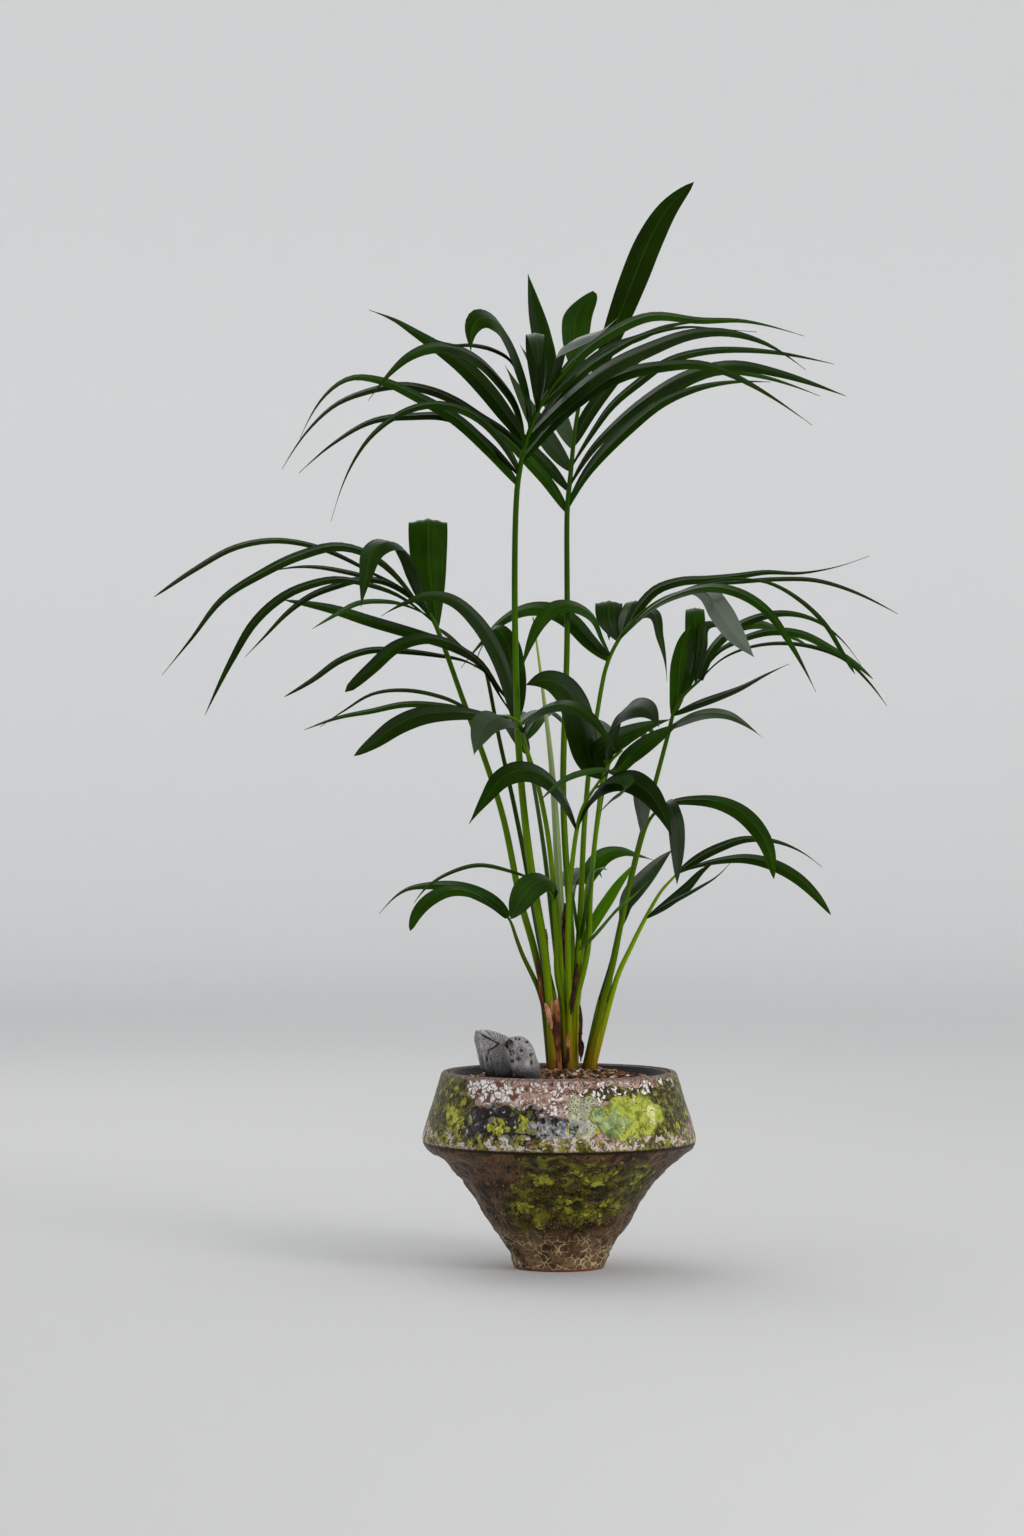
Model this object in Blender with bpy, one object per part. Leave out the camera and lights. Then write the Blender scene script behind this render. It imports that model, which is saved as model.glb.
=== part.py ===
"""Potted kentia palm: a young clump in a plastic nursery pot, set in a two-cone glazed pot.

Lengths in the tables are millimetres. Across is to the right, depth is away from the front,
up is above the flat underside of the glazed pot, whose centre is the origin.
"""
import math
from collections import namedtuple

import bpy
from mathutils import Vector
from mathutils.bvhtree import BVHTree

MM = 0.001
GAP = 0.3                 # running gap between two pieces that touch
ROUND = 40                # sides of the turned pieces

# The glazed pot: radius and height of its outer wall, from the foot to the rim.
POT_OUTSIDE = ((45.5, 0.0), (49, 15), (57, 28), (73, 50), (85, 72), (100, 92),
               (115, 107), (129, 117), (136, 124), (137, 130), (133, 145), (125, 170),
               (120, 187), (118, 194), (115, 197))
POT_INSIDE = ((112, 196), (111, 190), (113, 178), (121, 150), (124, 134), (121, 126),
              (106, 111), (91, 96), (77, 76), (65, 56), (48, 32), (38, 16), (0, 14))
POT_COLOUR = (0.20, 0.17, 0.09)

# The nursery pot stands on the cone of the glazed pot, its rim level with the glazed rim.
LINER_FOOT_RADIUS = 71.5
LINER_FOOT_UP = 68.0
LINER_RIM_RADIUS = 109.0
LINER_RIM_UP = 195.5
LINER_WALL = 2.2

# Potting mix below, fired clay granules on top, heaped towards the stems.
MIX_TOP_UP = 172.0
GRANULE_EDGE_UP = 186.0
GRANULE_CREST_UP = 197.0
CREST_RADIUS = 44.0

# Two weathered stones stand on the granules in front of the stems. A stone: its outline seen
# from the front, each point across and up, and rings of it: the depth and size of each.
STONES = (
    ("stone_upright",
     ((-84, 236.6), (-73.5, 237.5), (-63, 235.3), (-51, 230.5), (-45, 222), (-43, 205),
      (-46, 187), (-60, 185), (-71, 188), (-77, 197), (-81, 210), (-85, 228)),
     ((-56, 0.78), (-52, 0.95), (-42, 1.0), (-33, 0.93), (-29, 0.7))),
    ("stone_round",
     ((-54.4, 219), (-54.4, 227), (-50.5, 229.6), (-43, 231.2), (-35.2, 230), (-29.5, 226.4),
      (-25.7, 218.7), (-22.5, 209.8), (-19.3, 201), (-16.7, 190.7), (-20, 185), (-32, 184.5),
      (-41.6, 188.5), (-46.7, 196.4), (-51.2, 204.7), (-53, 212.4)),
     ((-83, 0.6), (-79, 0.88), (-70, 1.0), (-62, 0.93), (-57.2, 0.62))),
)

# A stem is a sheath bundle: foot and top centre (across, depth), foot and top radius.
Stem = namedtuple("Stem", "foot top foot_radius top_radius seat_radius")
STEM_TOP_UP = 262.0
STEMS = {
    "left": Stem((-4, -3), (-9, -5), 7.0, 9.8, 6.4),
    "centre": Stem((11, 4), (10, 6), 8.0, 11.6, 8.4),
    "right": Stem((28, 0), (45, 0), 6.0, 8.4, 5.2),
    "back": Stem((9, 28), (8, 34), 6.5, 8.6, 5.4),
}
STEM_SIDES = 12

# Where the sizes below were read from: a point seen in front of or behind the pot's axis
# slides along the line from here, so that it keeps its place in the front view.
EYE_ACROSS, EYE_BACK, EYE_UP = -47.0, 4267.0, 499.0

# A frond: the stem it grows from and the side of that stem, in degrees from the right; the
# radius of its stalk at the foot and at the tip; points of the bare stalk and of the rib, each
# across, up, depth; and its leaflets. A leaflet: where it sits on the rib, from 0 to 1; the
# points it passes through up to its tip, each across and up; the depth of its tip; its width;
# the roll of its face, 0 face up and 90 on edge; and where it is widest, from 0 to 1.
Frond = namedtuple("Frond", "name stem side radii stalk rib leaflets")
FRONDS = (
    Frond("tall_left", "left", 262, (3.6, 2.3),
          [(-14, 317, -18), (-29, 407, -32), (-40, 512, -46), (-44, 640, -58), (-44, 727, -68)],
          [(-42, 777, -75), (-35, 817, -84), (-22, 855, -94), (-4, 884, -104), (16, 907, -112)],
          [
            (0.04, ((-69, 817), (-102, 848), (-144, 872), (-179, 887), (-209, 889), (-233, 873),
               (-259, 829)), -60, 16, 50, 0.30),
            (0.10, ((-73, 825), (-107, 849), (-149, 851), (-187, 846), (-224, 825),
               (-260, 794)), -50, 11, 50, 0.40),
            (0.13, ((-57, 826), (-85, 852), (-122, 863), (-154, 856), (-186, 833), (-209, 799),
               (-228, 746)), -130, 13, 50, 0.20),
            (0.27, ((-54, 836), (-79, 851), (-103, 866), (-129, 877), (-159, 882), (-192, 876),
               (-223, 863), (-251, 837), (-277, 798)), -40, 11, 50, 0.40),
            (0.30, ((-42, 862), (-59, 886), (-81, 907), (-104, 918), (-126, 920), (-148, 912),
               (-168, 895), (-191, 866)), -170, 25, 45, 0.30),
            (0.33, ((-51, 850), (-71, 876), (-94, 900), (-119, 919), (-144, 935), (-164, 947),
               (-190, 957)), -30, 20, 50, 0.35),
            (0.40, ((-47, 905), (-65, 917), (-87, 922), (-104, 922), (-122, 927)), -150, 8, 45, 0.50),
            (0.45, ((-31, 875), (-40, 906), (-51, 930), (-63, 945), (-77, 949), (-86, 941),
               (-88, 916)), -190, 46, 52, 0.40),
            (0.60, ((-12, 899), (-18, 927), (-25, 959), (-31, 993)), -60, 25, 60, 0.45),
            (0.55, ((-22, 892), (-24, 922), (-24, 934), (-20, 901)), -230, 18, 0, 0.60),
            (0.20, ((21, 869), (66, 894), (109, 902), (146, 902), (186, 886),
               (253, 842)), -120, 19, 50, 0.30),
            (0.30, ((16, 888), (49, 913), (86, 932), (126, 940), (161, 938),
               (198, 935)), -60, 13, 50, 0.20),
            (0.36, ((18, 876), (53, 901), (91, 919), (131, 933), (166, 935), (206, 924),
               (247, 897)), -150, 24, 50, 0.30),
            (0.60, ((19, 895), (51, 919), (81, 930), (109, 941), (136, 945),
               (163, 944)), -30, 12, 50, 0.30),
            (0.68, ((19, 910), (51, 934), (91, 951), (141, 947), (186, 946),
               (245, 931)), -80, 15, 50, 0.30),
            (0.72, ((-4, 899), (2, 917), (18, 926), (39, 934), (61, 951)), -200, 36, 40, 0.35),
          ]),
    Frond("tall_right", "centre", 90, (3.3, 2.3),
          [(13, 317, 20), (7, 407, 24), (4, 487, 28), (8, 617, 34), (8, 697, 38)],
          [(8, 752, 40), (12, 797, 44), (16, 837, 50), (23, 877, 56), (33, 909, 60)],
          [
            (0.02, ((-11, 785), (-29, 805), (-54, 830), (-89, 853), (-129, 864)), 110, 13, 50, 0.30),
            (0.15, ((-9, 799), (-29, 819), (-54, 849), (-81, 882)), 140, 13, 50, 0.35),
            (0.28, ((-4, 817), (-22, 844), (-39, 874), (-54, 902)), 170, 19, 50, 0.35),
            (0.42, ((3, 843), (-10, 869), (-24, 897), (-39, 922)), 190, 19, 50, 0.35),
            (0.04, ((24, 788), (41, 810), (69, 838), (102, 864), (138, 879), (171, 885),
               (212, 885)), 30, 14, 50, 0.40),
            (0.08, ((30, 800), (58, 832), (95, 864), (131, 887), (163, 896), (206, 890),
               (261, 871)), 60, 13, 50, 0.40),
            (0.18, ((31, 815), (53, 839), (86, 867), (126, 891), (171, 902), (216, 895),
               (287, 871)), -20, 18, 50, 0.45),
            (0.30, ((31, 831), (53, 862), (81, 886), (109, 906), (146, 916), (206, 916),
               (275, 903)), 80, 11, 50, 0.45),
            (0.44, ((27, 849), (44, 873), (69, 899), (106, 921)), 120, 14, 50, 0.30),
            (0.72, ((40, 899), (58, 945), (74, 987), (91, 1028), (110, 1060),
               (135, 1085)), 90, 29, 65, 0.60),
            (0.80, ((15, 909), (15, 935), (18, 954), (34, 976)), 40, 40, 10, 0.65),
          ]),
    Frond("long_left", "left", 118, (3.4, 1.8),
          [(-27, 327, 0), (-39, 367, 4), (-55, 447, 12), (-74, 507, 18), (-96, 567, 22)],
          [(-122, 639, 26), (-134, 657, 28), (-149, 672, 30), (-167, 684, 32), (-189, 695, 34)],
          [
            (0.00, ((-126, 667), (-130, 707), (-131, 748), (-132, 667)), 90, 40, 0, 0.50),
            (0.18, ((-144, 687), (-150, 706), (-159, 721), (-171, 725), (-186, 716), (-193, 693),
               (-198, 660)), -70, 30, 25, 0.40),
            (0.35, ((-199, 701), (-241, 720), (-284, 727), (-324, 720), (-361, 700),
               (-405, 670)), 20, 9, 45, 0.65),
            (0.38, ((-183, 709), (-219, 721), (-259, 712), (-297, 694), (-337, 668), (-368, 628),
               (-397, 592)), -50, 13, 48, 0.35),
            (0.70, ((-207, 694), (-241, 700), (-264, 700), (-291, 695)), 90, 6, 50, 0.40),
            (0.08, ((-159, 671), (-187, 682), (-219, 688), (-241, 685), (-274, 672), (-304, 646),
               (-327, 608), (-354, 552)), -90, 10, 50, 0.50),
            (0.25, ((-171, 684), (-197, 688), (-224, 681), (-249, 671), (-271, 655), (-295, 630),
               (-314, 610)), -10, 9, 50, 0.40),
            (0.15, ((-157, 663), (-179, 666), (-201, 664), (-224, 652), (-247, 638)), -120, 6, 50, 0.50),
            (0.02, ((-107, 629), (-92, 615), (-77, 599)), 70, 9, 50, 0.35),
          ]),
    Frond("mid_left", "left", -26, (3.0, 1.9),
          [(-16, 317, -4), (-29, 397, -2), (-37, 467, -2)],
          [(-41, 541, -2), (-47, 567, -8), (-59, 597, -16)],
          [
            (0.00, ((-49, 583), (-62, 616), (-81, 646), (-105, 667), (-128, 672), (-152, 665),
               (-178, 651)), -60, 32, 50, 0.30),
            (0.10, ((-47, 599), (-53, 627), (-65, 638), (-77, 621), (-85, 599)), 60, 26, 45, 0.35),
            (0.05, ((-56, 567), (-76, 599), (-104, 622), (-134, 629), (-163, 621), (-187, 600),
               (-214, 575)), -70, 15, 50, 0.75),
            (0.30, ((-59, 577), (-81, 606), (-109, 622), (-139, 632), (-187, 646), (-229, 659),
               (-275, 667)), 30, 15, 50, 0.60),
          ]),
    Frond("slender_left", "left", 46, (2.6, 1.6),
          [(-18, 317, 12), (-34, 407, 20), (-46, 467, 24), (-60, 529, 28)],
          [(-69, 577, 30), (-75, 598, 32), (-84, 601, 34)],
          [
            (0.60, ((-94, 606), (-122, 612), (-154, 616), (-189, 617), (-219, 607), (-247, 587),
               (-275, 570)), 10, 9, 50, 0.60),
            (0.20, ((-114, 622), (-144, 622), (-162, 614), (-181, 596)), 120, 9, 50, 0.60),
          ]),
    Frond("front_left", "centre", 180, (2.8, 1.8),
          [(1, 317, -6), (-6, 387, -18), (-11, 432, -32), (-21, 482, -46)],
          [(-33, 519, -60), (-39, 543, -70), (-51, 551, -78)],
          [
            (0.50, ((-73, 551), (-109, 555), (-138, 552), (-162, 542), (-184, 526),
               (-205, 511)), -140, 22, 50, 0.60),
            (0.90, ((-81, 554), (-114, 569), (-154, 577), (-187, 573), (-214, 557),
               (-239, 540)), -90, 5, 50, 0.45),
            (0.90, ((-79, 554), (-114, 561), (-154, 563), (-189, 556), (-219, 550),
               (-255, 537)), -40, 8, 50, 0.50),
            (0.40, ((-57, 549), (-72, 545), (-80, 531), (-85, 512)), -190, 30, 35, 0.40),
            (0.05, ((-37, 532), (-26, 551), (-7, 561), (13, 561), (33, 548), (48, 529),
               (60, 510)), -150, 17, 45, 0.35),
          ]),
    Frond("mid_right", "centre", 45, (3.0, 1.7),
          [(19, 317, 20), (22, 367, 24), (25, 437, 30), (31, 507, 36), (38, 552, 40)],
          [(45, 592, 46), (55, 619, 48), (73, 645, 48), (101, 667, 44), (133, 679, 40)],
          [
            (0.12, ((31, 626), (11, 647), (-11, 658), (-33, 658), (-56, 647), (-78, 624),
               (-98, 599)), 60, 22, 50, 0.30),
            (0.15, ((44, 627), (34, 650), (16, 661), (-3, 660), (-18, 646), (-29, 624),
               (-38, 596)), 10, 18, 50, 0.40),
            (0.28, ((51, 645), (50, 666), (50, 627)), 130, 28, 0, 0.45),
            (0.32, ((70, 656), (77, 666), (82, 647)), 110, 20, 0, 0.50),
            (0.40, ((95, 676), (121, 686), (147, 688), (176, 691), (206, 695), (241, 694),
               (277, 700), (310, 711)), 60, 13, 50, 0.20),
            (0.70, ((141, 682), (176, 685), (216, 688), (256, 687), (291, 677),
               (339, 653)), 10, 6, 50, 0.50),
            (0.80, ((159, 687), (186, 688), (211, 684), (241, 667), (266, 643), (282, 617),
               (296, 593)), -60, 5, 50, 0.75),
            (0.30, ((96, 661), (126, 675), (153, 680), (181, 674), (207, 657), (231, 624),
               (257, 575)), -110, 12, 50, 0.40),
            (0.95, ((146, 675), (160, 657), (176, 633), (195, 610)), -160, 24, 45, 0.45),
            (0.50, ((93, 654), (101, 629), (106, 607), (108, 586)), -30, 12, 50, 0.20),
          ]),
    Frond("low_right", "right", 70, (2.8, 1.8),
          [(54, 307, 16), (68, 372, 26), (76, 407, 31), (85, 442, 35), (97, 487, 40)],
          [(109, 532, 42), (115, 555, 40), (125, 572, 36), (141, 587, 30)],
          [
            (0.25, ((119, 577), (121, 605), (125, 629), (132, 642)), 60, 19, 60, 0.45),
            (0.65, ((134, 602), (136, 627), (136, 659), (138, 617)), 130, 21, 0, 0.50),
            (1.00, ((152, 616), (171, 636), (196, 649), (226, 654), (256, 647), (281, 629),
               (302, 602)), 0, 14, 50, 0.20),
            (0.98, ((159, 615), (183, 628), (213, 636), (243, 633), (273, 618), (296, 604),
               (314, 588)), 40, 11, 50, 0.60),
            (1.00, ((163, 608), (191, 620), (224, 624), (259, 619), (287, 607), (309, 586),
               (328, 561)), -60, 5, 50, 0.50),
            (0.30, ((136, 562), (161, 571), (181, 579), (206, 592), (230, 603)), -30, 12, 50, 0.30),
            (0.10, ((129, 549), (151, 554), (169, 552), (183, 545), (204, 529)), -100, 16, 50, 0.25),
            (0.90, ((144, 622), (147, 641), (157, 643), (171, 630)), 100, 11, 50, 0.50),
            (1.00, ((155, 619), (177, 639), (203, 643), (226, 634), (247, 623)), 90, 12, 50, 0.60),
          ]),
    Frond("front_right", "centre", 315, (2.8, 1.8),
          [(29, 317, -10), (31, 367, -18), (34, 407, -26), (39, 452, -36)],
          [(44, 489, -46), (51, 505, -56), (63, 517, -66)],
          [
            (0.00, ((32, 505), (27, 534), (19, 561), (6, 579), (-12, 587),
               (-33, 582)), -130, 55, 58, 0.45),
            (0.50, ((50, 527), (58, 550), (72, 559), (89, 557), (100, 540)), -150, 40, 48, 0.40),
            (0.20, ((35, 507), (50, 524), (78, 538), (113, 548)), -60, 28, 50, 0.35),
            (0.30, ((53, 495), (71, 511), (93, 528), (119, 543)), -20, 19, 50, 0.50),
          ]),
    Frond("front_centre", "centre", 270, (2.9, 1.8),
          [(9, 317, -24), (10, 367, -34), (13, 402, -42)],
          [(18, 438, -54), (25, 462, -72), (41, 487, -92)],
          [
            (0.00, ((11, 456), (-3, 479), (-18, 492), (-36, 497), (-57, 489), (-73, 469),
               (-90, 443)), -120, 28, 50, 0.40),
            (0.00, ((25, 455), (34, 471), (47, 483), (66, 488), (86, 478), (102, 457),
               (113, 430)), -160, 27, 50, 0.45),
            (1.00, ((49, 496), (26, 495), (5, 487), (-21, 464)), -190, 7, 50, 0.40),
            (0.80, ((65, 489), (69, 482), (55, 470), (40, 454)), -200, 15, 50, 0.55),
          ]),
    Frond("right_near", "right", 250, (2.8, 1.7),
          [(54, 302, -14), (62, 342, -20), (71, 382, -26)],
          [(84, 432, -38), (94, 452, -44), (107, 461, -50)],
          [
            (0.50, ((109, 463), (133, 467), (163, 464), (187, 451), (207, 424),
               (215, 388)), -110, 18, 50, 0.60),
            (0.40, ((108, 464), (115, 449), (118, 422), (118, 383)), -170, 18, 40, 0.50),
            (0.00, ((83, 455), (78, 470), (74, 481)), 30, 16, 50, 0.50),
          ]),
    Frond("right_broad", "right", 160, (2.6, 1.8),
          [(52, 302, 4)],
          [(58, 327, 4), (63, 345, 4), (67, 362, 6)],
          [
            (0.30, ((65, 366), (78, 383), (92, 398), (113, 417)), -30, 40, 50, 0.45),
            (1.00, ((81, 378), (89, 385)), 60, 5, 50, 0.40),
          ]),
    Frond("right_far", "right", 340, (2.7, 1.6),
          [(59, 292, -4), (72, 320, -2)],
          [(86, 348, 0), (101, 374, 2), (114, 389, 4), (121, 396, 6)],
          [
            (1.00, ((141, 410), (161, 420), (186, 428), (216, 426), (241, 416),
               (263, 400)), 40, 11, 50, 0.25),
            (0.95, ((141, 402), (163, 407), (186, 409), (211, 404), (236, 391), (255, 374),
               (272, 352)), -50, 14, 50, 0.60),
            (0.02, ((113, 365), (139, 379), (157, 390), (173, 406)), -60, 7, 50, 0.30),
            (0.00, ((109, 364), (128, 380), (143, 396), (157, 406)), 60, 10, 50, 0.45),
          ]),
    Frond("young", "centre", 0, (2.8, 1.9),
          [(21, 292, 0)],
          [(20, 317, -6), (23, 342, -12)],
          [
            (0.00, ((39, 352), (48, 366), (60, 384), (78, 406)), -50, 13, 55, 0.45),
            (0.00, ((43, 341), (58, 358), (73, 370), (89, 385)), -80, 12, 55, 0.35),
            (0.40, ((28, 372), (31, 387), (35, 417)), -40, 22, 80, 0.40),
            (0.20, ((16, 362), (11, 387), (10, 409)), -50, 14, 80, 0.40),
          ]),
    Frond("centre_small", "back", 330, (2.6, 1.7),
          [(23, 317, 38)],
          [(25, 357, 42), (28, 382, 46), (33, 399, 48)],
          [
            (0.60, ((33, 399), (45, 412), (63, 416), (79, 412), (94, 407)), 70, 21, 45, 0.30),
            (0.80, ((42, 399), (48, 397)), -10, 8, 30, 0.40),
          ]),
    Frond("low_left", "left", 190, (2.6, 1.6),
          [(-22, 282, -8), (-35.5, 310, -12)],
          [(-42, 327, -14), (-47, 342, -15), (-51, 350, -16)],
          [
            (1.00, ((-61, 362), (-81, 374), (-104, 381), (-129, 382), (-154, 377),
               (-180, 353)), 20, 16, 50, 0.25),
            (0.90, ((-64, 359), (-87, 374), (-109, 377), (-129, 368), (-142, 354),
               (-149, 336)), -60, 15, 50, 0.65),
          ]),
    Frond("low_front", "centre", 225, (2.7, 1.8),
          [(-2, 292, -16), (-3, 327, -26)],
          [(-5, 357, -34), (-6, 372, -40), (-13, 382, -50)],
          [
            (0.30, ((-3, 380), (-13, 387), (-28, 381), (-39, 366), (-48, 348)), -110, 27, 45, 0.55),
            (1.00, ((-46, 395), (-81, 402), (-112, 393), (-132, 380), (-145, 364)), -60, 5, 50, 0.50),
          ]),
    Frond("back_left", "back", 150, (2.5, 1.6),
          [(-5, 330, 52), (-14, 410, 95), (-24, 475, 150)],
          [(-32, 515, 200), (-38, 535, 240), (-42, 543, 280), (-46, 540, 320)],
          [
            (0.00, ((-59, 551), (-75, 537)), 270, 20, 10, 0.35),
            (0.20, ((-11, 555), (7, 539)), 270, 20, 10, 0.35),
            (0.50, ((-62, 552), (-77, 535)), 350, 22, 10, 0.35),
            (0.60, ((-11, 557), (9, 537)), 350, 20, 10, 0.35),
            (1.00, ((-54, 551), (-67, 534)), 430, 18, 10, 0.35),
            (0.95, ((-35, 555), (-29, 539)), 430, 18, 10, 0.35),
          ]),
    Frond("back_right", "back", 30, (2.5, 1.6),
          [(26, 330, 52), (34, 410, 100), (42, 465, 150)],
          [(49, 500, 195), (55, 520, 235), (61, 528, 275), (67, 525, 315)],
          [
            (0.00, ((21, 542), (11, 525)), 270, 20, 10, 0.35),
            (0.20, ((86, 539), (101, 531)), 260, 20, 10, 0.35),
            (0.50, ((26, 547), (17, 522)), 350, 22, 10, 0.35),
            (0.60, ((86, 541), (97, 527)), 340, 20, 10, 0.35),
            (1.00, ((79, 539), (86, 523)), 420, 18, 10, 0.35),
            (0.95, ((54, 529), (49, 507)), 420, 18, 10, 0.35),
          ]),
    Frond("back_low", "back", 90, (2.5, 1.6),
          [(9, 305, 60), (11, 335, 90), (13, 362, 125)],
          [(15, 378, 155), (16, 386, 185), (17, 386, 215)],
          [
            (0.00, ((-2, 391), (-9, 375)), 210, 18, 10, 0.35),
            (0.20, ((34, 401), (43, 389)), 220, 18, 10, 0.35),
            (0.70, ((4, 395), (-3, 377)), 290, 18, 10, 0.35),
            (1.00, ((26, 399), (33, 383)), 300, 18, 10, 0.35),
          ]),
)
SPEAR_STALK = ((5, 317, 14), (0, 387, 19), (-4, 457, 22), (-9, 517, 24), (-15, 567, 25),
               (-20, 607, 26), (-26, 650, 26))
SPEAR_SIDE = 135
SPEAR_RADII = (2.8, 4.0, 0.7)

STALK_SIDES = 6
STALK_STEPS = 9
RIB_STEPS = 5
LEAF_STEPS = 8            # rings along a leaflet, before its point
LEAF_LINE = 32            # points of the midrib between which the rings are placed
LEAF_THICK = 0.012        # thickness at the midrib, as a share of its length
LEAF_LEAST_THICK = 1.6
LEAF_THINNING = 3.2       # the thickness runs out over 1 / this share of the length
LEAF_FOLD = 0.09          # how far the midrib stands above the edges, as a share of the width
FOOT = 0.02               # share of the length by which the outline starts inside the rib
TAPER_MOST = 2.15         # sharpness of the point of a leaflet that is widest at its foot
TAPER_LOSS = 2.35         # and what it loses as the widest place moves to the point
ARCH_STEPS = 8            # points of the curve between two given ones
PATH_STEPS = 64           # points of a whole stalk and rib
SWING_STEPS = (0, 12, -12, 24, -24, 36, -36, 50, -50, 66, -66, 84, -84, 104, -104, 126, -126)
CLEAR = 1.0               # room kept round a leaflet when it is placed


def material(name, colour, roughness, metallic=0.0):
    mat = bpy.data.materials.new(name)
    mat.use_nodes = True
    shader = mat.node_tree.nodes["Principled BSDF"]
    shader.inputs["Base Color"].default_value = (*colour, 1.0)
    shader.inputs["Roughness"].default_value = roughness
    shader.inputs["Metallic"].default_value = metallic
    mat.diffuse_color = (*colour, 1.0)
    return mat


def add_piece(name, verts, faces, mat, smooth=True):
    """One named object from points in millimetres."""
    mesh = bpy.data.meshes.new(name)
    mesh.from_pydata([Vector(v) * MM for v in verts], [], faces)
    mesh.materials.append(mat)
    if smooth:
        mesh.shade_smooth()
        mesh.set_sharp_from_angle(angle=math.radians(40))
    piece = bpy.data.objects.new(name, mesh)
    bpy.context.scene.collection.objects.link(piece)
    return piece


def turned(name, profile, mat):
    """A closed solid turned round the upright axis; the profile runs from axis to axis."""
    verts = []
    rings = []
    for radius, up in profile:
        if radius == 0:
            rings.append([len(verts)])
            verts.append((0, 0, up))
            continue
        rings.append(list(range(len(verts), len(verts) + ROUND)))
        for k in range(ROUND):
            turn = 2 * math.pi * k / ROUND
            verts.append((radius * math.cos(turn), radius * math.sin(turn), up))
    faces = []
    for low, high in zip(rings, rings[1:]):
        for k in range(ROUND):
            n = (k + 1) % ROUND
            if len(low) == 1:
                faces.append((low[0], high[n], high[k]))
            elif len(high) == 1:
                faces.append((low[k], low[n], high[0]))
            else:
                faces.append((low[k], low[n], high[n], high[k]))
    return add_piece(name, verts, faces, mat)


def smooth_path(points, steps):
    """Points evenly spaced along a smooth curve through the given ones."""
    ends = [points[0] * 2 - points[1], *points, points[-1] * 2 - points[-2]]
    fine = []
    for a, b, c, d in zip(ends, ends[1:], ends[2:], ends[3:]):
        for k in range(ARCH_STEPS):
            t = k / ARCH_STEPS
            fine.append(0.5 * (2 * b + (c - a) * t + (2 * a - 5 * b + 4 * c - d) * t * t
                               + (3 * b - a - 3 * c + d) * t ** 3))
    fine.append(points[-1])
    reach = [0.0]
    for a, b in zip(fine, fine[1:]):
        reach.append(reach[-1] + (b - a).length)
    path = []
    k = 0
    for step in range(steps + 1):
        goal = reach[-1] * step / steps
        while k < len(fine) - 2 and reach[k + 1] < goal:
            k += 1
        path.append(fine[k].lerp(fine[k + 1], (goal - reach[k]) / (reach[k + 1] - reach[k])))
    return path


def tube(path, radii, sides):
    """A closed round rod along a path, its foot cut level, as points and faces."""
    verts = []
    across = Vector((1, 0, 0))
    for k, point in enumerate(path):
        along = (path[min(k + 1, len(path) - 1)] - path[max(k - 1, 0)]).normalized()
        if k == 0:
            along = Vector((0, 0, 1))
        across = (across - along * across.dot(along)).normalized()
        over = along.cross(across)
        for n in range(sides):
            turn = 2 * math.pi * n / sides
            verts.append(point + radii[k] * (math.cos(turn) * across + math.sin(turn) * over))
    faces = [tuple(reversed(range(sides)))]
    for k in range(0, (len(path) - 1) * sides, sides):
        for n in range(sides):
            m = (n + 1) % sides
            faces.append((k + n, k + m, k + sides + m, k + sides + n))
    faces.append(tuple(range(len(verts) - sides, len(verts))))
    return verts, faces


def in_view(across, up, depth):
    """The point at this depth that is seen at across, up on the plane of the pot's axis."""
    scale = 1 + depth / EYE_BACK
    return Vector((EYE_ACROSS + (across - EYE_ACROSS) * scale, depth,
                   EYE_UP + (up - EYE_UP) * scale))


def stem_seat(stem, side):
    """Where a stalk starts: on a ring on top of its stem."""
    top = STEMS[stem]
    turn = math.radians(side)
    return Vector((top.top[0] + top.seat_radius * math.cos(turn),
                   top.top[1] + top.seat_radius * math.sin(turn), STEM_TOP_UP + GAP))


def stalk_and_rib(frond):
    """The frond's centre line: steps of the bare stalk, then steps of the rib."""
    bare = [stem_seat(frond.stem, frond.side), *(in_view(*p) for p in frond.stalk)]
    rib = [in_view(*p) for p in frond.rib]
    whole = smooth_path(bare + rib, PATH_STEPS)
    fork = min(range(len(whole)), key=lambda k: (whole[k] - rib[0]).length)
    return smooth_path(whole[:fork + 1], STALK_STEPS), smooth_path(whole[fork:], RIB_STEPS)


def leaflet_curve(rib, leaflet, swing):
    """A smooth arch from the rib through the leaflet's points; a swing moves only its depth."""
    station, through, tip_depth = leaflet[:3]
    place = station * (len(rib) - 1)
    step = min(int(place), len(rib) - 2)
    root = rib[step].lerp(rib[step + 1], place - step)
    seen = [(root.x, root.z), *through]
    reach = [0.0]
    for (a, b), (c, d) in zip(seen, seen[1:]):
        reach.append(reach[-1] + math.hypot(c - a, d - b))
    points = [root]
    for (across, up), far in zip(through, reach[1:]):
        depth = root.y + (tip_depth + swing - root.y) * far / reach[-1]
        points.append(in_view(across, up, depth))
    headings = [(b - a).normalized() for a, b in zip(points, points[1:])]
    turns = [(a + b).normalized() for a, b in zip(headings, headings[1:])]
    ways = [1.5 * headings[0] - 0.5 * turns[0], *turns, 1.5 * headings[-1] - 0.5 * turns[-1]]
    curve = [root]
    for k in range(len(headings)):
        curve += half_arch(points[k], points[k + 1], ways[k], ways[k + 1])
    return curve


def half_arch(start, end, leave, arrive):
    """Points along a cubic that leaves one point and arrives at the next in given directions."""
    reach = (end - start).length
    points = []
    for k in range(1, ARCH_STEPS + 1):
        t = k / ARCH_STEPS
        points.append(start.lerp(end, t * t * (3 - 2 * t))
                      + reach * (t * (1 - t) ** 2 * leave - t * t * (1 - t) * arrive))
    return points


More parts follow.
